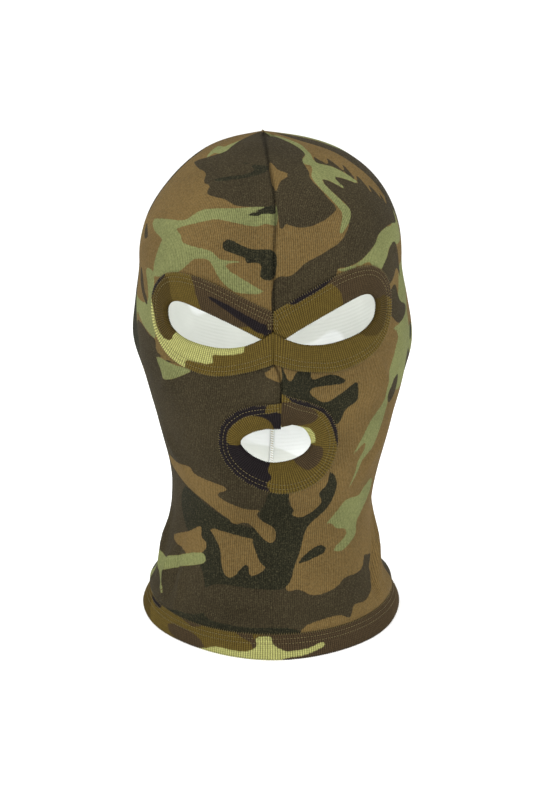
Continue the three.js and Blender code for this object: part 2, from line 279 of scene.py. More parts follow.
def unionDistance(places, outlines, samples=4):
    result = np.full(len(places), farOff)
    for outline in outlines:
        result = np.minimum(result, signedDistance(places, smoothCurve(outline, samples, True)))
    return result


# ---- materials ----
def linear(code):
    channels = [int(code[i:i + 2], 16) / 255 for i in (0, 2, 4)]
    return tuple(
        c / 12.92 if c <= 0.04045 else ((c + 0.055) / 1.055) ** 2.4 for c in channels) + (1.0,)


class Nodes:
    def __init__(self, name):
        self.material = bpy.data.materials.new(name)
        self.material.use_nodes = True
        self.tree = self.material.node_tree
        self.shader = self.tree.nodes["Principled BSDF"]

    def link(self, value, socket):
        if isinstance(value, bpy.types.NodeSocket):
            self.tree.links.new(value, socket)
        else:
            socket.default_value = value

    def add(self, kind, out=0, inputs=None, **settings):
        made = self.tree.nodes.new(kind)
        for key, value in settings.items():
            setattr(made, key, value)
        for key, value in (inputs or {}).items():
            self.link(value, made.inputs[key])
        return made.outputs[out]

    def math(self, operation, a, b=0.0, c=None):
        inputs = {0: a, 1: b} if c is None else {0: a, 1: b, 2: c}
        return self.add("ShaderNodeMath", inputs=inputs, operation=operation)

    def attribute(self, name):
        return self.add("ShaderNodeAttribute", out="Fac", attribute_name=name)

    def noise(self, scale, detail=2.0, rough=0.5):
        place = self.add("ShaderNodeTexCoord", out="Object")
        return self.add("ShaderNodeTexNoise", inputs={
            "Vector": place, "Scale": scale, "Detail": detail, "Roughness": rough})

    def ramp(self, value, low, high, outLow=0.0, outHigh=1.0):
        return self.add("ShaderNodeMapRange", inputs={
            "Value": value, "From Min": low, "From Max": high,
            "To Min": outLow, "To Max": outHigh})

    def mix(self, factor, a, b, blend="MIX"):
        made = self.tree.nodes.new("ShaderNodeMix")
        made.data_type = "RGBA"
        made.blend_type = blend
        self.link(factor, made.inputs["Factor"])
        self.link(a, made.inputs["A"])
        self.link(b, made.inputs["B"])
        return made.outputs["Result"]

    def times(self, colour, value):
        grey = self.add("ShaderNodeCombineColor", inputs={0: value, 1: value, 2: value})
        return self.mix(1.0, colour, grey, "MULTIPLY")

    def waves(self, value, pitch, operation="SINE"):
        return self.math(operation, self.math("MULTIPLY", value, 2 * math.pi / pitch))

    def finish(self, colour, height, rough, specular, relief, strength=0.6):
        normal = self.add("ShaderNodeBump", inputs={
            "Height": height, "Distance": relief, "Strength": strength})
        values = {"Base Color": colour, "Roughness": rough, "Specular IOR Level": specular,
                  "Normal": normal}
        for key, value in values.items():
            self.link(value, self.shader.inputs[key])
        return self.material


# A colour for every printed layer, laid over each other; each layer's attribute holds
# the distance in millimetres to its edge, and a fine noise makes that edge uneven.
def layeredPrint(n, ground, layers, softness, wander):
    jag = n.math("MULTIPLY", n.math("SUBTRACT", n.noise(420.0, 3.0, 0.6), 0.5), wander)
    colour = linear(ground)
    for attribute, code in layers:
        distance = n.math("ADD", n.attribute(attribute), jag)
        inside = n.ramp(distance, softness, -softness)
        colour = n.mix(inside, colour, linear(code))
    return colour


jerseyLook = {
    "ground": "7c653c",
    "green": "898e5b",
    "dark": "3f3727",
    "black": "29291d",
    "walePitch": 1.3,
    "waleWander": 0.5,
    "coursePitch": 0.9,
    "courseShare": 0.25,  # how much the courses show beside the wales
    "knit": 0.27,  # how much lighter a loop is than the gap beside it: painted shade between the loops
    "dye": 0.5,  # how deep the print is dyed: 1 shows the colours as they are
    "fade": 0.26,
    "fuzz": 0.27,
    "fuzzTone": "6d664a",
    "edgeSoftness": 0.22,
    "edgeWander": 1.1,
    "seamReach": (0.3, 1.9),
    "seamPaintedShade": 0.5,  # how dark the painted shade in the sunk seam is
    "surface": {"rough": 0.92, "specular": 0.06, "relief": 0.00012},
}


def printedJersey():
    n = Nodes("jersey_print")
    look = jerseyLook
    layers = [("printGreen", look["green"]), ("printDark", look["dark"]),
              ("printBlack", look["black"])]
    colour = layeredPrint(n, look["ground"], layers, look["edgeSoftness"], look["edgeWander"])
    # knit columns run up the cloth; along each, little loops repeat
    wander = n.math("MULTIPLY", n.noise(60.0), look["waleWander"])
    wale = n.waves(n.math("ADD", n.attribute("clothAcross"), wander), look["walePitch"])
    course = n.waves(n.attribute("clothUp"), look["coursePitch"])
    loops = n.math("MULTIPLY_ADD", course, look["courseShare"], wale)
    mottle = n.math("ADD", n.math("MULTIPLY", n.noise(28.0, 3.0), 0.6),
                    n.math("MULTIPLY", n.noise(800.0, 2.0, 0.7), 0.9))
    bright = n.ramp(mottle, 0.55, 0.95, 1 - look["fade"], 1 + look["fade"])
    # painted shade between the knit loops, then the depth of the dye
    bright = n.math("MULTIPLY", n.math("MULTIPLY_ADD", loops, look["knit"], bright), look["dye"])
    # painted shade along the sunk seam: darkest on it, gone beyond seamReach
    seam = n.ramp(n.attribute("seamAway"), *look["seamReach"], look["seamPaintedShade"], 1.0)
    colour = n.times(colour, n.math("MULTIPLY", bright, seam))
    fuzz = n.ramp(n.noise(1250.0, 2.0, 0.8), 0.5, 0.72)
    colour = n.mix(n.math("MULTIPLY", fuzz, look["fuzz"]), colour, linear(look["fuzzTone"]))
    height = n.math("MULTIPLY_ADD", n.noise(1800.0, 2.0, 0.7), 0.7, loops)
    return n.finish(colour, height, **look["surface"])


reverseLook = {
    "plain": "c8cac8",
    "ghost": "b6b8b2",  # where the dark print shows through
    "surface": {"rough": 0.95, "specular": 0.15, "relief": 0.00015},
}


def jerseyReverse():
    n = Nodes("jersey_reverse")
    look = reverseLook
    ghost = n.ramp(n.attribute("printDark"), 1.5, -1.5)
    colour = n.mix(ghost, linear(look["plain"]), linear(look["ghost"]))
    colour = n.times(colour, n.ramp(n.noise(35.0, 3.0), 0.3, 0.7, 0.93, 1.05))
    loops = n.waves(n.attribute("clothUp"), jerseyLook["coursePitch"])
    height = n.math("MULTIPLY_ADD", n.noise(1500.0, 2.0, 0.7), 0.8, loops)
    return n.finish(colour, height, **look["surface"])


ribLook = {
    "ground": "736029",
    "lime": "d0cf80",
    "purple": "56462f",
    "olive": "5b4a1e",
    "black": "262022",
    "valleyShade": 0.25,  # painted shade between two ribs; peak is the painted lighter rib top
    "peak": 0.58,
    # loopPitch and loop: painted shade between the loops along a rib
    "loopPitch": 1.1,
    "loop": 0.06,
    "edgeSoftness": 0.35,
    "edgeWander": 1.4,
    "surface": {"rough": 0.9, "specular": 0.12, "relief": 0.0001},
}
ribLayers = ("Olive", "Purple", "Lime", "Black")


def printedRib(name):
    n = Nodes(name)
    look = ribLook
    layers = [("print" + tone, look[tone.lower()]) for tone in ribLayers]
    colour = layeredPrint(n, look["ground"], layers, look["edgeSoftness"], look["edgeWander"])
    # painted shade and highlight: ribs darkened in their valleys and lightened on their tops, following the
    # raised ribs
    wave = n.waves(n.attribute("ribPhase"), 1.0, "COSINE")
    shown = n.math("MULTIPLY", wave, n.attribute("ribContrast"))
    rib = n.ramp(shown, -1.0, 1.0, look["valleyShade"], look["peak"])
    # painted shade between the loops along the strip
    loop = n.waves(n.attribute("stripAcross"), look["loopPitch"])
    bright = n.math("MULTIPLY_ADD", loop, look["loop"], rib)
    bright = n.math("MULTIPLY", bright, n.ramp(n.noise(500.0, 3.0, 0.7), 0.3, 0.7, 0.85, 1.13))
    height = n.math("MULTIPLY_ADD", n.noise(1900.0, 2.0, 0.7), 0.8, loop)
    return n.finish(n.times(colour, bright), height, **look["surface"])


threadSurface = {"rough": 0.7, "specular": 0.3, "relief": 0.00005, "strength": 0.5}


def twistedThread(name, code):
    n = Nodes(name)
    twist = n.add("ShaderNodeTexWave", out="Fac", inputs={
        "Vector": n.add("ShaderNodeTexCoord", out="Object"), "Scale": 900.0,
        "Distortion": 1.5, "Detail": 1.0}, bands_direction="DIAGONAL")
    # painted shade along the twist of the thread, times a random tone from the noise
    bright = n.math("MULTIPLY", n.ramp(twist, 0.0, 1.0, 0.75, 1.12),
                    n.ramp(n.noise(160.0), 0.3, 0.7, 0.8, 1.15))
    return n.finish(n.times(linear(code), bright), twist, **threadSurface)


jersey = printedJersey()
reverse = jerseyReverse()
bindingRib = printedRib("rib_print")
hemRib = printedRib("hem_rib_print")
needleThread = twistedThread("needle_thread", "665b39")
edgeThread = twistedThread("edge_thread", "5e5330")
seamThread = twistedThread("seam_thread", "8f8460")
print("materials ready")

# ---- the print of the jersey, in cloth coordinates (s, v) ----
printShapes = {
    "green": [
        [(3, 269), (-8, 267), (-23, 265.5), (-36, 265), (-49, 263), (-61, 256), (-80, 255),
         (-101, 252.5), (-92, 247), (-78, 243), (-79, 238), (-84, 222), (-70, 222), (-58, 226),
         (-52, 230), (-47, 234), (-38, 234.5), (-34.5, 231), (-31, 225), (-25, 219), (-19, 216.5),
         (-4.5, 216.5), (-11, 221), (-27, 231), (-18.5, 234), (-30, 235), (-37, 239.5),
         (-56, 242.5), (-60, 247), (-65, 250.5), (-46, 256), (-34, 258), (-12, 254.5), (-4, 256),
         (3, 256)],
        [(-80, 302.5), (-90, 313), (-90, 316), (-75, 316), (-52, 314), (-48, 311.5),
         (-66, 308.5), (-76, 308)],
        [(-64, 311), (-52, 322), (-34, 334), (-12, 345), (-4, 348), (-4, 351), (-20, 348), (-44, 337),
         (-62, 324), (-74, 313)],
        [(50, 319), (47, 309), (37, 303), (36, 299.5), (42, 297), (39, 292), (36, 289), (37, 281),
         (46, 266), (48, 261), (42, 248.5), (51, 255), (55, 259), (55, 264), (46, 277), (43, 284.5),
         (49, 284), (60, 276.5), (60, 279), (56, 286), (64, 285), (79, 279), (72, 288), (63, 295),
         (50, 300), (52, 306), (62, 319), (57, 330), (42, 341), (20, 349), (4, 351), (4, 346),
         (20, 342), (36, 334), (46, 326)],
        [(38, 228.5), (44, 229.5), (55, 232.5), (69, 240.5), (75, 246), (86, 249), (98, 250),
         (110, 262), (120, 258), (115, 240), (101, 237), (93, 238), (85, 236), (77.5, 226.5),
         (67, 226.5), (62, 231), (54, 229.5), (42, 226.5)],
        [(92, 198), (104, 200), (121, 196), (122, 222), (106, 224), (100, 214)],
        [(78, 190), (90, 190), (103, 193), (112, 198), (126, 190), (128, 160), (112, 150),
         (96, 150), (93, 158), (100, 166), (93, 182), (88, 188)],
        [(93, 182), (89, 173), (84, 160), (82, 150), (76, 144), (65, 137), (58, 128), (49, 116),
         (56, 121), (61, 122), (56, 108), (49, 95), (60, 108), (72, 120), (80, 134), (87, 151),
         (98, 164), (104, 172), (108, 182)],
        [(30, 71.5), (41, 82.5), (48, 87.5), (62, 87), (68, 91), (80, 94), (82, 86), (68, 75),
         (61, 69), (60, 62), (48, 55.5), (41, 56), (40, 58), (50, 64), (48, 68), (41, 70),
         (35, 74.5)],
        [(-97, 223), (-84, 222), (-83, 205), (-82, 190), (-84, 184), (-92, 186), (-104, 190),
         (-118, 197), (-124, 203), (-98, 203), (-90, 206), (-92, 214)],
    ],
    "dark": [
        [(0, 356), (3, 269), (-5, 266.5), (-23, 267), (-33, 271), (-49, 274), (-50, 280),
         (-58, 282.5), (-63, 290), (-78, 293), (-100, 298), (-84, 302), (-60, 311), (-58, 320),
         (-56, 356)],
        [(1, 356), (4, 260), (9, 256), (19, 253.5), (30, 256), (41, 261.5), (45, 265.5),
         (41, 272), (34, 286.5), (36, 292), (37, 303), (47, 309), (50, 319), (44, 330), (30, 340), (24, 356)],
        [(1, 200), (1, 223.5), (11, 226.5), (18.5, 233), (30, 238.5), (42.5, 245), (51, 255),
         (55, 264), (46, 277), (43, 284.5), (49, 284), (60, 276.5), (56, 286), (64, 285),
         (79, 279), (72, 288), (63, 295), (50, 300), (58, 309), (68, 310), (80, 304), (86, 297),
         (82, 287), (90, 283), (95, 274), (100, 270), (102, 262), (108, 268), (114, 262),
         (112, 250), (98, 250), (86, 249), (75, 246), (69, 240.5), (55, 232.5), (44, 229.5),
         (38, 228.5), (36, 216), (20, 206)],
        [(74, 330), (92, 310), (101, 292), (104, 274), (112, 260), (126, 262), (136, 280), (134, 312),
         (112, 334), (88, 340)],
        [(73, 224), (82, 232), (87, 237), (97, 238.5), (104, 224), (106, 216), (98, 223),
         (90, 218), (80, 214.5), (76, 219)],
        [(83, 211), (93, 214), (98, 204), (112, 199), (110, 195), (94, 191), (84, 196), (80, 198.5),
         (82, 205)],
        [(84, 146), (87, 153), (100, 160), (99, 152), (88, 143.5)],
        [(-112, 222), (-106, 220), (-98, 211), (-91, 205), (-94, 203), (-110, 214)],
        [(-116, 247), (-112, 248), (-100, 242), (-108, 240)],
        [(-150, -6), (-150, 192), (-120, 190), (-104, 189), (-92, 185), (-84, 183), (-84, 176),
         (-66, 172), (-40, 172), (-8, 176), (4, 177), (4, 160), (7, 100), (10, 86), (14, 60),
         (8.5, 38.5), (17, 37), (26.5, 33), (41, 35), (49, 39), (60.5, 39), (68, 40.5), (72, 46),
         (78, 45), (89, 43), (81, 40.5), (77.5, 37.5), (80, 33), (79, 27), (67, 22), (55, 22.5),
         (49, 17), (39.5, 20), (20, 17.5), (15, 11), (10, -6)],
    ],
    "black": [
        [(2, 267.5), (-4, 266.5), (-9, 264.5), (-16, 261), (-9, 261), (-4, 262.3), (2, 262)],
        [(-49, 286.5), (-30, 289), (-15, 292.5), (-17, 297), (-33, 302), (-12, 298.5), (-1, 297.5),
         (-1, 294), (-12, 289), (-42, 284)],
        [(-29.5, 242), (-28.5, 246), (-25, 246.5), (-13, 241.5), (1.5, 240), (1.5, 226),
         (-3, 224), (-7, 226), (-6.5, 233), (-14.5, 233.5), (-15, 236), (-27, 240)],
        [(0, 177), (4, 175), (7, 168.5), (10.5, 168.5), (13.5, 172), (19, 172.5), (24, 172),
         (26, 166.5), (38, 168.5), (48, 164), (47, 162.5), (30, 162), (24, 160.5), (28, 155),
         (34, 152.5), (46, 157.5), (56, 162.5), (56, 154), (53, 150.5), (44, 146.5), (36, 138),
         (25, 152), (10, 158), (3, 160), (2, 168)],
        [(-104, -6), (-98, 12), (-80, 15), (-60, 20), (-46, 36), (-48, 48), (-58, 62), (-68, 70),
         (-74, 82), (-68, 92), (-52, 88), (-30, 79),
         (-11, 74), (-8, 80), (-10, 86), (-4, 98), (7, 97.5), (7, 91.5), (11, 86.5), (10, 83),
         (17, 81), (28, 89), (26, 96), (31, 101), (33, 109), (38.5, 100), (33, 86), (20.5, 74),
         (17, 60), (14, 51), (8.5, 38.5), (-10, 38), (-30, 39), (-42, 34), (-42, 20), (-20, 17),
         (15, 15), (12, -6)],
        [(16, 52), (22, 58.5), (30, 61.5), (34, 57.5), (28, 55)],
    ],
    "brownOver": [
        [(0.5, 301), (5, 298), (8, 294), (17, 290), (8, 284.5), (4, 278), (0.5, 286)],
        [(54, 306), (60, 318), (74, 324), (92, 306), (102, 290), (106, 272), (99, 276), (97, 266),
         (90, 278), (86, 272), (84, 286), (78, 282), (79, 296), (72, 291), (68, 303), (62, 298)],
        [(-8.5, 171.5), (-3, 174.5), (0, 177), (3, 176), (3, 168.5), (-2, 169)],
        [(-97, 106), (-80, 105.5), (-63, 106), (-57, 103), (-33, 100), (-31, 97.5), (-37, 93),
         (-19, 86.5), (-8, 86.5), (-11, 84), (-8, 79.5), (0, 74.5), (1.5, 69), (0, 65), (-5, 66.5),
         (-15, 77), (-24, 75.5), (-30, 79.5), (-52, 89), (-82, 97.5), (-95, 101)],
        [(-47, 68.5), (-47, 64), (-42, 60), (-46, 54.5), (-60, 52), (-75, 53.5), (-80, 56.5),
         (-60, 64), (-50, 69.5)],
        [(-41, 70.5), (-31, 70), (-20, 68.5), (-12, 67), (-12, 65), (-7, 53.5), (-3.5, 49.5),
         (-12, 45), (-14, 50.5), (-17, 50.5), (-22, 44.5), (-27, 43.5), (-30.5, 49), (-32, 58.5),
         (-37.5, 66.5)],
    ],
    "greenOver": [
        [(-86, 173), (-64, 170.5), (-54, 170), (-60, 167), (-73, 162), (-82, 161.5), (-85, 167)],
        [(-112, 41), (-94, 40), (-79, 44.5), (-62, 50), (-46, 54.5), (-42, 51), (-45, 48),
         (-60, 43.5), (-72, 40), (-84, 35), (-92, 30), (-86, 19.5), (-98, 26), (-112, 34)],
    ],
    "darkOver": [
        [(-95, 30), (-72, 40), (-58, 45), (-46, 46), (-42, 34), (-42, 22), (-66, 18), (-92, 27)],
        [(-42, 96), (-33, 92), (-19, 86), (-9, 86), (-6, 100), (-20, 102), (-34, 101)],
    ],
}
blobs = {
    "size": 62.0,
    "start": 112.0,  # along the cloth from the middle of the face, where blobs begin to take over
    "full": 134.0,
    "top": 343.0,  # up the cloth
    "topFull": 350.0,
    "flatness": 0.62,
    "detail": 0.45,
    "steepness": 40,
}
# seed, the noise level where its blobs begin, scale
blobKinds = {
    "printGreen": (3.1, 0.16, 1.0),
    "printDark": (11.7, 0.06, 1.0),
    "printBlack": (23.3, 0.24, 0.8),
}


# Blobs of the same scale carry the print round the sides and the back.
def blobField(points, seed, threshold, size):
    out = []
    for x, y, z in points:
        place = Vector((x / size + seed, y / size - seed, z / (size * blobs["flatness"])))
        value = noise.noise(place) + blobs["detail"] * noise.noise(place * 2.3)
        out.append((threshold - value) * blobs["steepness"])
    return np.clip(out, -farOff, farOff)


def printDistances(points, s, v):
    places = np.stack([s, v], -1)
    base = {key: unionDistance(places, outlines) for key, outlines in printShapes.items()}
    green = np.minimum(base["green"], base["greenOver"])
    dark = np.minimum(base["dark"], base["darkOver"])
    black = np.maximum(base["black"], -base["darkOver"])
    for over in ("brownOver", "greenOver"):
        dark = np.maximum(dark, -base[over])
        black = np.maximum(black, -base[over])
    green = np.maximum(green, -base["brownOver"])
    side = np.clip((np.abs(s) - blobs["start"]) / (blobs["full"] - blobs["start"]), 0, 1)
    crown = np.clip((v - blobs["top"]) / (blobs["topFull"] - blobs["top"]), 0, 1)
    share = np.maximum(side, crown)
    share = share * share * (3 - 2 * share)
    free = {
        key: blobField(points, seed, threshold, blobs["size"] * scale)
        for key, (seed, threshold, scale) in blobKinds.items()}
    drawn = {"printGreen": green, "printDark": dark, "printBlack": black}
    return {key: drawn[key] * (1 - share) + free[key] * share for key in drawn}


# ---- the jersey shell ----
shellLook = {
    "columns": 250,
    "frontCrowding": 0.38,
    "wallRows": 108,
    "domeRows": 44,
    "bottom": 5.0,
    "seamTop": 150.0,  # the front seam starts inside the mouth binding
    "grooveDepth": 1.1,
    "grooveWidth": 0.75,
    "grooveAngles": (0.0045, 0.010, 0.018, 0.030),
    "faceFrom": -30.0,  # the openings are cut only in cloth in front of this
    "rawEdge": 1.6,
    "bandTop": 14.3,  # below it the cloth is tucked between the leaves of the hem band
    "tuck": -0.35,
    "overHang": 2.7,  # how far the cloth bellies out over the hem band
    "bellyAt": 17.5,
    "bellyReach": 5.0,
    "poleRise": 0.9,  # the small point where the seam crosses the crown
    "smoothBelow": 13.0,  # no folds lower than this, full folds from foldsGrow above it
    "foldsGrow": 6.0,
    "unevenness": 0.5,
    "unevenSize": 24.0,
}
# x of the seam line on the face at height z
seamLine = np.array([
    (142, 3.5), (151, 4.4), (165, 4.4), (173, 3), (178, 0.15), (206, 0.15), (239, 0.4), (259, 1.7),
    (274, 0.2), (284, -1.8), (297, -4.0), (300, -4.5)])
# soft folds in cloth coordinates: from, to, half width, height out of the cloth
folds = [
    ((-92, 22), (-80, 48), 2.6, 3.0),
    ((-80, 18), (-66, 60), 3.2, -2.5),
    ((-70, 16), (-60, 46), 3.0, 2.1),
    ((-110, 24), (-96, 70), 4.0, 3.2),
    ((-50, 24), (10, 21), 3.2, -2.6),
    ((10, 21), (46, 24), 3.2, -1.8),
    ((-40, 31), (16, 30), 4.5, 2.1),
    ((88, 20), (97, 60), 3.0, 3.0),
    ((80, 18), (88, 46), 3.5, -2.5),
    ((100, 22), (112, 70), 4.0, 3.2),
    ((60, 96), (96, 128), 6.0, 1.8),
    ((-64, 100), (-100, 130), 6.0, 1.8),
    ((-36, 112), (-80, 104), 5.0, -1.6),
    ((40, 112), (84, 108), 5.0, -1.4),
    ((4, 247), (44, 245), 1.6, 0.8),
    ((4, 240), (40, 239), 1.6, -0.8),
    ((4, 233), (30, 234), 1.5, 0.7),
    ((66, 176), (92, 150), 4.0, 1.8),
    ((-64, 172), (-92, 150), 4.0, 1.8),
]


def foldHeight(s, v):
    total = np.zeros(len(s))
    place = np.stack([s, v], -1)
    for start, end, width, height in folds:
        a, side = np.array(start, float), np.array(end, float) - np.array(start, float)
        t = np.clip(((place - a) @ side) / (side @ side), 0, 1)
        away = np.sqrt(((place - a - t[:, None] * side) ** 2).sum(1))
        fade = np.clip(1.15 - np.abs(2 * t - 1), 0, 1)
        total += height * bell(away, width) * fade
    return total


def unevenness(points, seed, size):
    return np.array([noise.noise(Vector((x / size, y / size, z / size + seed))) for x, y, z in points])


# The hood's surface with its folds, at any angles and heights.
def clothSurface(theta, z, lift=0.0):
    theta, z = np.broadcast_arrays(np.asarray(theta, float), np.asarray(z, float))
    base = surfacePoint(theta, z).reshape(-1, 3)
    normal = surfaceNormal(theta, z).reshape(-1, 3)
    s, v = clothPlace(theta.ravel(), z.ravel())
    look = shellLook
    out = foldHeight(s, v) + look["unevenness"] * unevenness(base, 5.0, look["unevenSize"])
    out *= np.clip((z.ravel() - look["smoothBelow"]) / look["foldsGrow"], 0, 1)
    return (base + normal * (out + np.ravel(lift))[:, None]).reshape(theta.shape + (3,)), normal


def seamAngle(z):
    return angleAt(np.interp(z, seamLine[:, 0], seamLine[:, 1]), z)


# matched points of an opening binding: outer edge x, z and opening edge x, z
eyePairs = [
    (0.15, 196.6, 1.4, 193.8), (0.15, 206, 7.1, 190.5), (12, 212, 16, 195),
    (26, 219.3, 27, 200.4), (41, 225.5, 39, 206), (54, 227.4, 50, 210.3),
    (62.5, 224, 56.5, 210.6), (68.5, 214, 60.3, 207.5), (69.5, 200, 61, 202),
    (66.5, 187, 59, 195.5), (59, 177, 52, 189.8), (46, 170.8, 41, 186.2),
    (32, 168.8, 29, 184.6), (16, 171.4, 17, 186.2), (5, 175.4, 7.1, 190.5),
    (0.15, 177.3, 0.15, 194.8)]
mouthPairs = [
    (4.6, 161.5, 4.6, 139.6), (19, 154.2, 10.5, 141), (31.5, 146.4, 18, 137.6),
    (37.3, 131, 22.2, 129), (34, 114, 19.5, 123.3), (24, 103, 13.5, 119.5), (8, 98.2, 5.5, 117.3),
    (-8, 101, -3, 117), (-22, 109.2, -12, 120.6), (-30.2, 122, -18.5, 126.6),
    (-29.6, 138, -18, 131), (-20, 148.2, -12, 135.3), (-8, 153.2, -4, 138),
    (4.2, 156.4, 4.2, 138.4)]
eyeRoll = {"pivot": (0.0, 190.0), "degrees": 2.0}
seamGap = 0.15  # half the space between two strips that meet


def eyeStations(side):
    pairs = np.array(eyePairs, float).reshape(-1, 2, 2)
    angle = math.radians(side * eyeRoll["degrees"])
    turn = np.array([[math.cos(angle), math.sin(angle)], [-math.sin(angle), math.cos(angle)]])
    pivot = np.array(eyeRoll["pivot"])
    rolled = (pairs - pivot) @ turn + pivot
    rolled[..., 0] = side * np.maximum(rolled[..., 0], seamGap)
    return rolled


strips = {
    "rightEye": eyeStations(-1),
    "leftEye": eyeStations(1),
    "mouth": np.array(mouthPairs, float).reshape(-1, 2, 2),
}
openings = {name: smoothCurve(s[1:-1, 1], 6, True) for name, s in strips.items()}


def shellColumns():
    count = shellLook["columns"]
    t = 2 * math.pi * np.arange(count) / count - math.pi
    t = t - shellLook["frontCrowding"] * np.sin(t)
    clear = shellLook["grooveAngles"][-1] * 1.4
    t = t[(np.abs(t) > clear) & (np.abs(t) < math.pi - clear)]
    near = np.array([0, *shellLook["grooveAngles"], *(-a for a in shellLook["grooveAngles"])])
    back = np.concatenate([math.pi - near[near >= 0], -math.pi - near[near < 0]])
    return np.sort(np.concatenate([t, near, back]))


def buildShell():
    look = shellLook
    columns = shellColumns()
    wall = np.linspace(look["bottom"], shoulder, look["wallRows"])
    turns = np.linspace(0, math.pi / 2, look["domeRows"] + 1)[1:-1]
    levels = np.concatenate([wall, shoulder + hood["domeHeight"] * np.sin(turns)])
    lean = seamAngle(levels)
    u, z = np.meshgrid(columns, levels)
    theta = u + lean[:, None] * ((1 + np.cos(u)) / 2) ** 3
    sideways = np.abs(np.sin(u)) * np.linalg.norm(surfacePoint(theta, z)[..., :2], axis=-1)
    sewn = np.where(np.cos(u) > 0, (z > look["seamTop"]).astype(float), 1.0)
    groove = -look["grooveDepth"] * bell(sideways, look["grooveWidth"]) * sewn
    belly = look["overHang"] * bell(z - look["bellyAt"], look["bellyReach"])
    belly *= z > look["bandTop"]
    tuck = np.where(z < look["bandTop"], look["tuck"], 0.0)
    points, _ = clothSurface(theta, z, (groove + belly + tuck).ravel())
    points = points.reshape(-1, 3)
    pole = surfacePoint(0.0, hood["height"] - 0.001)
    pole[2] = hood["height"] + look["poleRise"]
    points = np.vstack([points, pole])
    rows, across = len(levels), len(columns)
    index = np.arange(rows * across).reshape(rows, across)
    right = np.roll(index, -1, axis=1)
    quads = np.stack([index[:-1], right[:-1], right[1:], index[1:]], -1).reshape(-1, 4)
    centre = points[quads].mean(1)
    front = np.stack([centre[:, 0], centre[:, 2]], -1)
    cut = np.zeros(len(quads), bool)
    facing = centre[:, 1] < look["faceFrom"]
    for loop in openings.values():
        cut[facing] |= signedDistance(front[facing], loop) < look["rawEdge"]
    fan = [(index[-1, i], right[-1, i], rows * across) for i in range(across)]
    made = makeObject("hood_jersey", points, faces=[tuple(q) for q in quads[~cut]] + fan)
    s, v = clothPlace(theta.ravel(), z.ravel())
    s, v = np.append(s, 0.0), np.append(v, shoulder + domeArc[-1])
    addAttribute(made, "clothAcross", np.abs(s))
    addAttribute(made, "clothUp", v)
    # distance from the sewn seam, where the jersey material paints shade
    addAttribute(made, "seamAway", np.append(np.where(sewn > 0, sideways, farOff).ravel(), 0.0))
    for name, distance in printDistances(points, s, v).items():
        addAttribute(made, name, distance)
    removeLoose(made)
    made.data.materials.append(jersey)
    made.data.materials.append(reverse)
    wallModifier = made.modifiers.new("wall", "SOLIDIFY")
    wallModifier.thickness = hood["wall"] * mm
    wallModifier.offset = -1.0
    wallModifier.material_offset = 1
    wallModifier.use_even_offset = False
    return applied(made)


def removeLoose(made):
    used = np.zeros(len(made.data.vertices), bool)
    for polygon in made.data.polygons:
        used[list(polygon.vertices)] = True
    work = bmesh.new()
    work.from_mesh(made.data)
    work.verts.ensure_lookup_table()
    loose = [work.verts[i] for i in np.where(~used)[0]]
    bmesh.ops.delete(work, geom=loose, context="VERTS")
    work.to_mesh(made.data)
    work.free()


hoodJersey = buildShell()
print("jersey shell", len(hoodJersey.data.polygons), "faces")


# ---- rib-knit bindings ----
ribs = {"pitch": 1.42, "steps": 5, "height": 0.2, "samples": 40}
bandLook = {
    "lift": 0.3,  # underside of the outer leaf above the jersey
    "leaf": 0.9,
    "insideReach": 8.0,  # how far the inner leaf goes back from the opening
    "foldOuter": 1.6,
    "foldInner": 0.75,
    "rows": (2.7, 5.3),  # needle rows, from the outer edge
    "rowDepth": 0.28,
    "rowWidth": 0.6,
    "foldSwell": 0.25,  # how much the strip swells before its fold
    "swellReach": 2.0,
    "middleShare": 0.4,  # where the ribs are counted, from the outer edge
}


# A strip turns a sharp corner one place from each end, where it meets the seam.
def sewnCurve(points):
    side = np.sign(points[0, 0])
    samples = ribs["samples"]
    steps = np.arange(samples)[:, None] / samples
    start = points[0] + (points[1] - points[0]) * steps
    end = points[-2] + (points[-1] - points[-2]) * steps
    curve = np.vstack([start, smoothCurve(points[1:-1], samples, False)[:-1], end, points[-1:]])
    if abs(points[0, 0]) < 1:
        curve[:, 0] = side * np.maximum(side * curve[:, 0], seamGap)
    return curve


# Points along the strip, evenly spaced on its middle line: outer and opening curves.
def stripCurves(pairs, pitch):
    outer, inner = sewnCurve(pairs[:, 0]), sewnCurve(pairs[:, 1])
    station = np.linspace(0, len(pairs) - 1, len(outer))
    share = bandLook["middleShare"]
    middle = facePoints(outer * (1 - share) + inner * share)[0]
    run = np.concatenate([[0], np.cumsum(np.linalg.norm(np.diff(middle, axis=0), axis=1))])
    count = int(round(run[-1] / pitch)) * ribs["steps"]
    places = np.linspace(0, run[-1], count + 1)
    pick = [np.interp(places, run, c) for c in (outer[:, 0], outer[:, 1], inner[:, 0], inner[:, 1])]
    return (np.stack(pick[:2], -1), np.stack(pick[2:], -1), places,
            np.interp(places, run, station), run[-1])


def facePoints(flat, lift=0.0):
    theta = angleAt(flat[..., 0], flat[..., 1])
    normal = surfaceNormal(theta, flat[..., 1])
    lift = np.asarray(lift, float)
    return surfacePoint(theta, flat[..., 1]) + normal * lift[..., None], normal


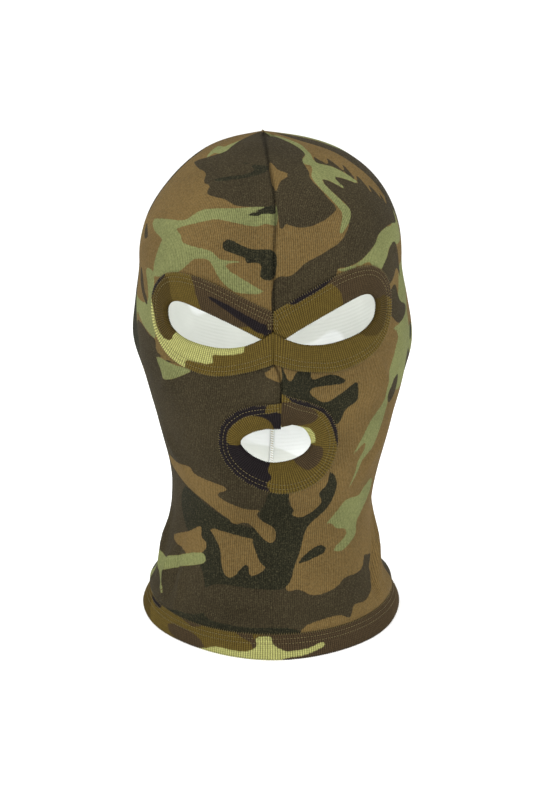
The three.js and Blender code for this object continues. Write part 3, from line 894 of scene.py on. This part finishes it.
# One strip section, from under the outer edge over the top, round the fold and back inside:
# share of the way to the opening, millimetres added to it, lift, turn of the fold, rib weight.
def bandSection():
    top = bandLook["lift"] + bandLook["leaf"]
    low = -hood["wall"] - bandLook["lift"]
    rows = [(0.0, 0.0, bandLook["lift"], None, 0.3), (0.0, -0.12, top * 0.6, None, 0.7)]
    rows += [(share, 0.0, top, None, 1.0) for share in np.linspace(0.02, 1, 15)]
    rows += [(1.0, 0.0, bandLook["foldOuter"], turn, 1.0) for turn in (65, 40, 15, -15, -40, -65)]
    rows += [(1.0, -d, low - bandLook["leaf"], None, 0.8) for d in (0.0, 2.5, 5.0, 7.6)]
    rows += [(1.0, -bandLook["insideReach"], low - bandLook["leaf"] / 2, None, 0.3)]
    rows += [(1.0, -d, low, None, 0.0) for d in (7.6, 4.0, 0.0)]
    rows += [(1.0, 0.0, bandLook["foldInner"], turn, 0.0) for turn in (-60, 0, 60)]
    rows += [(share, 0.0, bandLook["lift"], None, 0.0) for share in (1.0, 0.75, 0.5, 0.25)]
    return rows


def buildBand(name, pairs, tones):
    outer, inner, along, station, total = stripCurves(pairs, ribs["pitch"])
    outerPoint, _ = facePoints(outer)
    innerPoint, _ = facePoints(inner)
    width = np.linalg.norm(outerPoint - innerPoint, axis=1)
    radius = bandLook["foldOuter"]
    heart = outer + (inner - outer) * (1 - radius / width)[:, None]
    middleLift = -hood["wall"] / 2
    heartPoint, heartNormal = facePoints(heart, np.full(len(heart), middleLift))
    inward = innerPoint - outerPoint
    inward -= heartNormal * (inward * heartNormal).sum(1, keepdims=True)
    inward /= np.linalg.norm(inward, axis=1, keepdims=True)
    rings, across, weights = [], [], []
    unit = (heart - outer) / np.maximum(np.linalg.norm(heart - outer, axis=1), 1e-6)[:, None]
    for share, extra, lift, turn, weight in bandSection():
        if turn is None:
            flat = outer + (heart - outer) * share + unit * extra
            away = share * (width - radius) + extra
            height = np.full(len(flat), float(lift))
            if weight == 1.0:
                for row in bandLook["rows"]:
                    height -= bandLook["rowDepth"] * bell(away - row, bandLook["rowWidth"])
                fold = bell(away - (width - radius), bandLook["swellReach"])
                height += bandLook["foldSwell"] * fold
            rings.append(facePoints(flat, height)[0])
            across.append(away if weight > 0.5 or lift > 0 else width + radius - extra)
        else:
            angle = math.radians(turn)
            rings.append(heartPoint + lift * (
                math.cos(angle) * inward + math.sin(angle) * heartNormal))
            across.append(width + radius * (0.5 - angle))
        weights.append(np.full(len(outer), weight))
    return stripMesh(name, np.array(rings), np.array(across), np.array(weights), along, station,
                     width, total, tones, bindingRib)


# A bar whose section runs round the first index, closed at both ends.
def barFaces(around, length):
    index = np.arange(around * length).reshape(around, length)
    below = np.roll(index, -1, axis=0)
    sides = np.stack([index[:, :-1], below[:, :-1], below[:, 1:], index[:, 1:]], -1)
    ends = [tuple(index[::-1, 0]), tuple(index[:, -1])]
    return [tuple(side) for side in sides.reshape(-1, 4)] + ends


def stripMesh(name, rings, across, weights, along, station, width, total, tones, material):
    around, length = rings.shape[:2]
    made = makeObject(name, rings.reshape(-1, 3), faces=barFaces(around, length))
    phase = along / total * round(total / ribs["pitch"])
    addAttribute(made, "ribPhase", np.tile(phase, around))
    # how strongly the painted rib shade shows
    addAttribute(made, "ribContrast", np.where(weights > 0.2, 1.0, 0.5).ravel())
    addAttribute(made, "ribWeight", weights.ravel())
    addAttribute(made, "stripAcross", across.ravel())
    places = np.stack([np.tile(along, around), across.ravel()], -1)
    for attribute in ("print" + tone for tone in ribLayers):
        outlines = []
        for outline in tones.get(attribute, []):
            at = np.interp([p[0] for p in outline], station, along)
            wide = np.interp([p[0] for p in outline], station, width)
            outlines.append(np.stack([at, np.array([p[1] for p in outline]) * wide], -1))
        addAttribute(made, attribute, unionDistance(places, outlines, 3))
    made.data.materials.append(material)
    fixNormals(made)
    return raiseRibs(made, material)


def fixNormals(made):
    work = bmesh.new()
    work.from_mesh(made.data)
    bmesh.ops.recalc_face_normals(work, faces=work.faces[:])
    work.to_mesh(made.data)
    work.free()


# Geometry nodes that lift every rib along the surface's own direction.
def ribTree():
    tree = newTree("ribs", {"Rib Height": "Float"})
    new, link = tree.nodes.new, tree.links.new
    start, end = new("NodeGroupInput"), new("NodeGroupOutput")
    phase, weight = namedValue(tree, "ribPhase"), namedValue(tree, "ribWeight")
    turn = mathNode(tree, "MULTIPLY", phase, 2 * math.pi)
    wave = mathNode(tree, "COSINE", turn, 0.0)
    lifted = mathNode(tree, "MULTIPLY", mathNode(tree, "MULTIPLY", wave, weight),
                      start.outputs["Rib Height"])
    scale = new("ShaderNodeVectorMath")
    scale.operation = "SCALE"
    link(new("GeometryNodeInputNormal").outputs[0], scale.inputs[0])
    link(lifted, scale.inputs["Scale"])
    move = new("GeometryNodeSetPosition")
    link(start.outputs["Geometry"], move.inputs["Geometry"])
    link(scale.outputs[0], move.inputs["Offset"])
    finishTree(tree, move.outputs[0], start.outputs["Material"], end)
    return tree


# A group that takes a geometry, numbers and a material, and gives a geometry back.
def newTree(name, numbers):
    tree = bpy.data.node_groups.new(name, "GeometryNodeTree")
    given = {"Geometry": "Geometry", **numbers, "Material": "Material"}
    for label, kind in given.items():
        tree.interface.new_socket(label, in_out="INPUT", socket_type="NodeSocket" + kind)
    tree.interface.new_socket("Geometry", in_out="OUTPUT", socket_type="NodeSocketGeometry")
    return tree


def namedValue(tree, name, kind="FLOAT"):
    made = tree.nodes.new("GeometryNodeInputNamedAttribute")
    made.data_type = kind
    made.inputs["Name"].default_value = name
    return next(o for o in made.outputs if o.name == "Attribute" and o.enabled)


def mathNode(tree, operation, a, b):
    made = tree.nodes.new("ShaderNodeMath")
    made.operation = operation
    for value, socket in ((a, made.inputs[0]), (b, made.inputs[1])):
        if isinstance(value, bpy.types.NodeSocket):
            tree.links.new(value, socket)
        else:
            socket.default_value = value
    return made.outputs[0]


def finishTree(tree, geometry, material, end):
    real = tree.nodes.new("GeometryNodeRealizeInstances")
    paint = tree.nodes.new("GeometryNodeSetMaterial")
    tree.links.new(geometry, real.inputs[0])
    tree.links.new(real.outputs[0], paint.inputs["Geometry"])
    tree.links.new(material, paint.inputs["Material"])
    tree.links.new(paint.outputs[0], end.inputs[0])


def runTree(made, tree, values):
    modifier = made.modifiers.new(tree.name, "NODES")
    modifier.node_group = tree
    for item in tree.interface.items_tree:
        if item.in_out == "INPUT" and item.name in values:
            modifier[item.identifier] = values[item.name]
    made.update_tag()
    return applied(made)


ribNodes = ribTree()


def raiseRibs(made, material):
    return runTree(made, ribNodes, {"Rib Height": ribs["height"] * mm, "Material": material})


# Tones along each strip: (station of the matched points, share of the width from outside).
bandTones = {
    "rightEye": {
        "printOlive": [[(5.6, 0.1), (6.6, -0.2), (8.1, -0.2), (8.3, 0.28), (9.6, 0.3), (10.3, 0.62),
                        (10.5, 1.4), (6.6, 1.4), (5.8, 0.7)]],
        "printPurple": [[(-0.2, -0.2), (4, -0.2), (4.2, 0.4), (4.1, 0.8), (3.7, 1.4), (-0.2, 1.4)]],
        "printLime": [[(7.4, -0.2), (7.6, 0.14), (8.7, 0.26), (9.3, 0.42), (9.6, 0.7), (9.7, 1.5),
                       (12.95, 1.5), (13.05, 0.95), (12.9, 0.76), (11.75, 0.76), (11.65, 0.6),
                       (11.7, 0.46), (11.4, 0.38), (10.6, 0.3), (10.5, -0.2)]],
        "printBlack": [[(-0.2, 0.4), (1, 0.46), (2, 0.46), (3, 0.41), (3.65, 0.43), (3.55, 0.52),
                        (2.9, 0.62), (2, 0.74), (1, 0.8), (-0.2, 0.84)],
                       [(5.8, -0.2), (5.8, 0.08), (7, 0.1), (7.4, -0.2)]],
    },
    "leftEye": {
        "printPurple": [[(3.3, -0.2), (3.7, 0.3), (4, 0.7), (4.4, 1.5), (6.7, 1.5), (7.2, 0.6),
                         (7.4, -0.2)]],
        "printOlive": [[(7.2, 0.5), (8.2, 0.3), (9.6, 0.5), (10.4, 1.5), (7, 1.5)]],
        "printBlack": [[(1.9, -0.2), (1.9, 0.1), (2.6, 0.16), (3.3, 0.12), (3.8, -0.2)]],
    },
    "mouth": {
        "printPurple": [[(-0.2, 0.2), (1.0, 0.12), (1.8, 0.3), (1.9, 0.7), (1.4, 0.98),
                         (-0.2, 0.9)],
                        [(3.3, 0.75), (3.6, 0.5), (4.4, 0.45), (5.0, 0.6), (5.3, 1.5), (3.3, 1.5)]],
        "printLime": [[(-0.3, 0.99), (0.8, 1.0), (1.7, 0.96), (2.1, 0.86), (2.7, 0.84), (3.1, 1.0),
                       (2.9, 1.5), (-0.3, 1.5)]],
        "printBlack": [[(0.2, -0.2), (0.4, 0.12), (1.6, 0.15), (3.0, 0.12), (3.3, -0.2)],
                       [(6.9, -0.2), (6.8, 0.25), (6.6, 0.5), (6.9, 0.8), (6.9, 1.5), (9.0, 1.5),
                        (9.2, 0.9), (9.4, 0.4), (10.2, 0.35), (11.2, 0.33), (12.0, 0.45),
                        (12.5, 0.75), (12.7, 1.5), (13.3, 1.5), (13.3, 0.34), (12.2, 0.34),
                        (12.1, -0.2)]],
    },
}
bandNames = {"rightEye": "right_eye", "leftEye": "left_eye", "mouth": "mouth"}
bands = {
    key: buildBand(f"{node}_band", strips[key], bandTones[key])
    for key, node in bandNames.items()}
print("opening bindings", [len(b.data.polygons) for b in bands.values()])

# ---- hem band ----
hemLook = {
    "height": 14.0,
    "innerHeight": 12.0,
    "backReach": 80.0,
    "waves": [(0.5, 3, 0.6), (0.35, 7, 2.0)],  # height, waves in a turn, start
}
# (s along the front, share of the way down from the upper edge)
hemTones = {
    "printOlive": [[(-290, -0.3), (-125, -0.3), (-112, 0.3), (-104, 0.9), (-108, 1.6), (-290, 1.6)]],
    "printPurple": [
        [(-78, 0.5), (-68, 0.36), (-56, 0.4), (-50, 0.5), (-46, 0.68), (-44, 0.98), (-60, 1.04),
         (-74, 0.84)],
        [(-74, -0.1), (-62, 0.05), (-55, 0.16), (-47, 0.02), (-52, -0.1)],
        [(-13, 0.5), (-10, 0.1), (-3, 0.08), (-1, -0.3), (290, -0.3), (290, 1.6), (-4, 1.6),
         (-2, 0.9)],
        [(-24, -0.1), (-14, -0.1), (-12, 0.3), (-18, 0.2)],
    ],
    "printLime": [[(-43, 0.88), (-35, 0.7), (-20, 0.72), (-14, 0.64), (-10, 0.46), (-10, 0.12),
                   (-2, 0.08), (-1, 0.25), (1, 0.45), (8, 0.64), (20, 0.6), (29, 0.46),
                   (31, 0.56), (28, 0.68), (18, 0.84), (4, 0.98), (4, 1.6), (-100, 1.6),
                   (-74, 1.05), (-56, 1.08)]],
    "printBlack": [[(-116, -0.2), (-112, 0.16), (-98, 0.22), (-92, 0.1), (-93, -0.2)]],
}


def buildHem():
    look = hemLook
    half = math.pi - seamGap / look["backReach"]
    fine = np.linspace(-half, half, 2400)
    middle = surfacePoint(fine, look["height"] / 2)
    run = np.concatenate([[0], np.cumsum(np.linalg.norm(np.diff(middle, axis=0), axis=1))])
    count = int(round(run[-1] / ribs["pitch"])) * ribs["steps"]
    along = np.linspace(0, run[-1], count + 1)
    theta = np.interp(along, run, fine)
    top = bandLook["lift"] + bandLook["leaf"]
    low = -hood["wall"] - bandLook["lift"]
    mid = -hood["wall"] / 2
    height, radius = look["height"], bandLook["foldOuter"]
    rows = [(height, bandLook["lift"], 0.3), (height + 0.1, top * 0.6, 0.7)]
    rows += [(z, top, 1.0) for z in np.linspace(height - 0.3, radius, 14)]
    rows += [(radius * (1 - math.cos(math.radians(t))), mid + (top - mid) * math.sin(math.radians(t)),
              1.0) for t in (60, 30, 0, -30, -60)]
    rows += [(z, low - bandLook["leaf"], 0.8) for z in (radius, 5.0, 8.5, look["innerHeight"])]
    rows += [(look["innerHeight"] + 0.2, low - bandLook["leaf"] / 2, 0.3)]
    rows += [(z, low, 0.0) for z in (look["innerHeight"], 7.0, 2.4)]
    rows += [(1.0, mid, 0.0)]
    rows += [(z, bandLook["lift"], 0.0) for z in (2.4, 6.0, 10.0)]
    rings, across, weights = [], [], []
    # the strip waves a little, as cloth that stands by itself does
    wave = sum(size * np.sin(number * theta + start) for size, number, start in look["waves"])
    for z, lift, weight in rows:
        out = np.full(len(theta), float(lift)) + wave * np.clip(1 - z / height, 0, 1)
        if weight == 1.0:
            for row in bandLook["rows"]:
                out -= bandLook["rowDepth"] * bell(height - z - row, bandLook["rowWidth"])
        level = np.full(len(theta), float(max(z, 0.0)))
        normal = surfaceNormal(theta, level + 0.6)
        normal[:, 2] *= 0.0
        rings.append(surfacePoint(theta, level) + normal * out[:, None])
        depth = height - z if lift > mid or weight >= 1.0 else height + 2 + z
        across.append(np.full(len(theta), depth))
        weights.append(np.full(len(theta), weight))
    s, _ = clothPlace(theta, np.full(len(theta), height / 2))
    return stripMesh("hem_rib_band", np.array(rings), np.array(across), np.array(weights), along,
                     s, np.full(len(s), height), run[-1], hemTones, hemRib)


hemBand = buildHem()
print("hem", len(hemBand.data.polygons), "faces")


# ---- stitches ----
# Geometry nodes that lay one small rounded stitch at even steps along a line.
def stitchTree():
    numbers = dict.fromkeys(("Pitch", "Length", "Thickness", "Turn", "Unevenness"), "Float")
    tree = newTree("stitches", {**numbers, "Seed": "Int"})
    new, link = tree.nodes.new, tree.links.new
    start, end = new("NodeGroupInput"), new("NodeGroupOutput")
    given = start.outputs
    curve = new("GeometryNodeMeshToCurve")
    link(given["Geometry"], curve.inputs[0])
    steps = new("GeometryNodeResampleCurve")
    steps.mode = "LENGTH"
    link(curve.outputs[0], steps.inputs["Curve"])
    link(given["Pitch"], steps.inputs["Length"])
    stitch = new("GeometryNodeMeshUVSphere")
    stitch.inputs["Segments"].default_value = 6
    stitch.inputs["Rings"].default_value = 5
    stitch.inputs["Radius"].default_value = 1.0
    smooth = new("GeometryNodeSetShadeSmooth")
    link(stitch.outputs["Mesh"], smooth.inputs[0])
    aim = new("FunctionNodeAxesToRotation")
    aim.primary_axis = "Z"
    aim.secondary_axis = "X"
    link(namedValue(tree, "outward", "FLOAT_VECTOR"), aim.inputs["Primary Axis"])
    link(new("GeometryNodeInputTangent").outputs[0], aim.inputs["Secondary Axis"])
    chance = new("FunctionNodeRandomValue")
    chance.data_type = "FLOAT"
    chance.inputs[2].default_value = -1.0
    chance.inputs[3].default_value = 1.0
    link(given["Seed"], chance.inputs["Seed"])
    random = next(o for o in chance.outputs if o.enabled)
    uneven = mathNode(tree, "MULTIPLY", random, given["Unevenness"])
    angle = mathNode(tree, "ADD", mathNode(tree, "MULTIPLY", uneven, 0.6), given["Turn"])
    spin = new("ShaderNodeCombineXYZ")
    link(angle, spin.inputs["Z"])
    spinTurn = new("FunctionNodeEulerToRotation")
    link(spin.outputs[0], spinTurn.inputs[0])
    turned = new("FunctionNodeRotateRotation")
    turned.rotation_space = "LOCAL"
    link(aim.outputs[0], turned.inputs["Rotation"])
    link(spinTurn.outputs[0], turned.inputs["Rotate By"])
    half = mathNode(tree, "MULTIPLY", given["Length"], mathNode(tree, "ADD", uneven, 1.0))
    size = new("ShaderNodeCombineXYZ")
    link(mathNode(tree, "MULTIPLY", half, 0.5), size.inputs["X"])
    link(mathNode(tree, "MULTIPLY", given["Thickness"], 0.5), size.inputs["Y"])
    link(mathNode(tree, "MULTIPLY", given["Thickness"], 0.42), size.inputs["Z"])
    lay = new("GeometryNodeInstanceOnPoints")
    link(steps.outputs[0], lay.inputs["Points"])
    link(smooth.outputs[0], lay.inputs["Instance"])
    link(turned.outputs[0], lay.inputs["Rotation"])
    link(size.outputs[0], lay.inputs["Scale"])
    finishTree(tree, lay.outputs[0], given["Material"], end)
    return tree


stitchNodes = stitchTree()
stitchKinds = {
    "needle": {"Pitch": 2.1, "Length": 1.6, "Thickness": 0.36, "Turn": 0.0, "Unevenness": 0.12},
    "edge": {"Pitch": 1.42, "Length": 1.9, "Thickness": 0.34, "Turn": 1.45, "Unevenness": 0.14},
    "overlock": {"Pitch": 1.6, "Length": 2.6, "Thickness": 0.45, "Turn": 1.2, "Unevenness": 0.15},
}
stitchLay = {"needleRise": 0.12, "edgeSink": 0.05, "edgeInwards": 0.25}


def layStitches(name, points, outward, kind, seed, material):
    edges = [(i, i + 1) for i in range(len(points) - 1)]
    made = makeObject(name, points, edges=edges)
    addAttribute(made, "outward", outward, "FLOAT_VECTOR")
    values = {
        key: value * mm if key in ("Pitch", "Length", "Thickness") else value
        for key, value in stitchKinds[kind].items()}
    values.update({"Seed": seed, "Material": material})
    return runTree(made, stitchNodes, values)


def bandRow(pairs, inwards, lift):
    outer, inner = stripCurves(pairs, ribs["pitch"])[:2]
    width = np.linalg.norm(facePoints(outer)[0] - facePoints(inner)[0], axis=1)
    flat = outer + (inner - outer) * (inwards / width)[:, None]
    points, normal = facePoints(flat, np.full(len(flat), lift))
    keep = slice(ribs["steps"], -ribs["steps"])
    return points[keep], normal[keep]


def hemRow(down, lift):
    theta = np.linspace(-math.pi + 0.02, math.pi - 0.02, 900)
    level = np.full(len(theta), hemLook["height"] - down)
    normal = surfaceNormal(theta, level)
    return surfacePoint(theta, level) + normal * lift, normal


bandTop = bandLook["lift"] + bandLook["leaf"]
rowLift = bandTop + ribs["height"] - bandLook["rowDepth"] + stitchLay["needleRise"]
edgeLift = bandTop - stitchLay["edgeSink"]
stitchRows = {
    "outer_needle": (bandLook["rows"][0], rowLift, "needle", needleThread),
    "inner_needle": (bandLook["rows"][1], rowLift, "needle", needleThread),
    "edge": (stitchLay["edgeInwards"], edgeLift, "edge", edgeThread),
}
stitches = {}
seed = 1
for key, node in bandNames.items():
    for row, (inwards, lift, kind, material) in stitchRows.items():
        points, outward = bandRow(strips[key], inwards, lift)
        stitches[f"{node}_{row}_thread"] = layStitches(
            f"{node}_{row}_stitches", points, outward, kind, seed, material)
        seed += 1
hemRows = {"upper_needle": "outer_needle", "lower_needle": "inner_needle", "edge": "edge"}
for row, like in hemRows.items():
    inwards, lift, kind, material = stitchRows[like]
    points, outward = hemRow(inwards, lift)
    stitches[f"hem_{row}_thread"] = layStitches(
        f"hem_{row}_stitches", points, outward, kind, seed, material)
    seed += 1
print("stitches", sum(len(o.data.polygons) for o in stitches.values()), "faces")

# ---- the seam allowances inside, hooded with overlock thread ----
allowance = {
    "depth": 6.0,
    "thickness": 2.4,
    "frontLow": 168.0,
    "backLow": 17.0,
    "start": 1.5,
    "sway": 1.2,  # how far it leans to either side as it goes
    "swaySize": 30.0,
}


def seamPath():
    turns = np.linspace(0, math.pi / 2, 30)
    rise = shoulder + hood["domeHeight"] * np.sin(turns[1:-2])
    front = np.concatenate([np.linspace(allowance["frontLow"], shoulder, 36), rise])
    back = np.concatenate([np.linspace(allowance["backLow"], shoulder, 90), rise])[::-1]
    theta = np.concatenate([seamAngle(front), np.full(len(back), math.pi)])
    level = np.concatenate([front, back])
    return surfacePoint(theta, level), surfaceNormal(theta, level)


def buildAllowances():
    points, outward = seamPath()
    tangent = np.gradient(points, axis=0)
    side = np.cross(tangent, outward)
    side /= np.linalg.norm(side, axis=1, keepdims=True)
    half = allowance["thickness"] / 2
    top, deep = hood["wall"] + allowance["start"], hood["wall"] + allowance["depth"]
    section = [(-half, top), (-half, deep - 0.6), (-half * 0.6, deep), (-0.12, deep),
               (0, deep - 0.8), (0.12, deep), (half * 0.6, deep), (half, deep - 0.6), (half, top)]
    sway = unevenness(points, 9.0, allowance["swaySize"])[:, None] * allowance["sway"]
    rings = np.array([
        points - outward * down + side * (away + sway * (down - top) / allowance["depth"])
        for away, down in section])
    count, length = rings.shape[:2]
    made = makeObject(
        "centre_seam_allowances", rings.reshape(-1, 3), faces=barFaces(count, length))
    addAttribute(made, "clothUp", np.tile(np.arange(length) * 2.0, count))
    addAttribute(made, "printDark", np.full(count * length, farOff))
    made.data.materials.append(reverse)
    fixNormals(made)
    return made, points - outward * deep + side * sway, -outward


allowances, crest, crestOut = buildAllowances()
stitches["centre_seam_overlock"] = layStitches(
    "centre_seam_overlock_stitches", crest, crestOut, "overlock", seed, seamThread)
print("seam allowances ready")

# ---- pieces on the frame ----
def fitPiece(made, node):
    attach(made, "root")
    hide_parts(node)


fitPiece(hoodJersey, "hood_shell")
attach(allowances, "root")
for key, node in bandNames.items():
    fitPiece(bands[key], f"{node}_binding")
fitPiece(hemBand, "hem_band")
for node, made in stitches.items():
    fitPiece(made, node)

# ---- floor, light and camera ----
studio = {
    "floorTone": "f4f4f2",
    "floorHalf": 4.0,
    "sweepRadius": 1.4,
    "wallTop": 4.0,
    "glow": 0.12,
    "world": 0.95,
    "camera": {"target": (0.63, 0.0, 133.0), "distance": 1050.0, "elevation": 13.0,
               "azimuth": -0.8, "lens": 75.0},
}
# metres and watts; the last two stand inside the hood, as its inside is seen lit
lights = {
    "key": {"place": (-0.8, -1.7, 1.3), "target": (0, 0, 0.15), "size": 1.0, "power": 17.0},
    "fill": {"place": (1.0, -1.6, 0.9), "target": (0, 0, 0.15), "size": 1.4, "power": 9.0},
    "left": {"place": (-1.7, -0.1, 0.8), "target": (0, 0, 0.12), "size": 1.2, "power": 11.5},
    "right": {"place": (1.7, -0.1, 0.8), "target": (0, 0, 0.12), "size": 1.2, "power": 11.5},
    "top": {"place": (0.0, 0.2, 1.9), "target": (0, 0, 0.2), "size": 1.2, "power": 12.0},
    "insideHigh": {"place": (0.0, 0.02, 0.26), "target": (0.0, 0.09, 0.16), "size": 0.03,
                   "power": 0.17},
    "insideLow": {"place": (0.0, -0.02, 0.03), "target": (0.0, 0.08, 0.12), "size": 0.03,
                  "power": 0.14},
}


def buildFloor():
    half, radius = studio["floorHalf"], studio["sweepRadius"]
    turns = np.linspace(0, math.pi / 2, 24)
    y = np.concatenate([[-half], half - radius + radius * np.sin(turns)])
    z = np.concatenate([[0.0], radius - radius * np.cos(turns)])
    y, z = np.append(y, half), np.append(z, studio["wallTop"])
    points = [(side * half * 1.5, a, b) for a, b in zip(y, z) for side in (-1, 1)]
    faces = [(2 * i, 2 * i + 1, 2 * i + 3, 2 * i + 2) for i in range(len(y) - 1)]
    mesh = bpy.data.meshes.new("studio_floor")
    mesh.from_pydata(points, [], faces)
    made = bpy.data.objects.new("studio_floor", mesh)
    bpy.context.scene.collection.objects.link(made)
    n = Nodes("studio_paper")
    grain = n.ramp(n.noise(300.0, 2.0), 0.3, 0.7, 0.99, 1.01)
    n.link(n.times(linear(studio["floorTone"]), grain), n.shader.inputs["Base Color"])
    n.shader.inputs["Roughness"].default_value = 0.95
    n.shader.inputs["Emission Color"].default_value = (1, 1, 1, 1)
    n.shader.inputs["Emission Strength"].default_value = studio["glow"]
    mesh.materials.append(n.material)


def softLight(name, place, target, size, power):
    light = bpy.data.lights.new(name, "AREA")
    light.shape = "DISK"
    light.size = size
    light.energy = power
    made = bpy.data.objects.new(name, light)
    made.location = place
    made.visible_camera = False
    made.rotation_mode = "QUATERNION"
    made.rotation_quaternion = (Vector(target) - Vector(place)).to_track_quat("-Z", "Y")
    bpy.context.scene.collection.objects.link(made)


def aimCamera():
    look = studio["camera"]
    elevation, azimuth = math.radians(look["elevation"]), math.radians(look["azimuth"])
    back = np.array([math.sin(azimuth) * math.cos(elevation),
                     -math.cos(azimuth) * math.cos(elevation), math.sin(elevation)])
    target = np.array(look["target"])
    camera = bpy.data.cameras.new("camera")
    camera.lens = look["lens"]
    camera.sensor_width = 36.0
    camera.clip_end = 50.0
    made = bpy.data.objects.new("camera", camera)
    made.location = inMetres(target + back * look["distance"])
    made.rotation_mode = "QUATERNION"
    made.rotation_quaternion = Vector(-back).to_track_quat("-Z", "Y")
    bpy.context.scene.collection.objects.link(made)
    bpy.context.scene.camera = made


buildFloor()
world = bpy.data.worlds.new("studio")
world.use_nodes = True
world.node_tree.nodes["Background"].inputs["Color"].default_value = (1, 1, 1, 1)
world.node_tree.nodes["Background"].inputs["Strength"].default_value = studio["world"]
bpy.context.scene.world = world
for name, light in lights.items():
    softLight(name, **light)
aimCamera()
bpy.context.scene.view_settings.view_transform = "Standard"
print("studio ready")
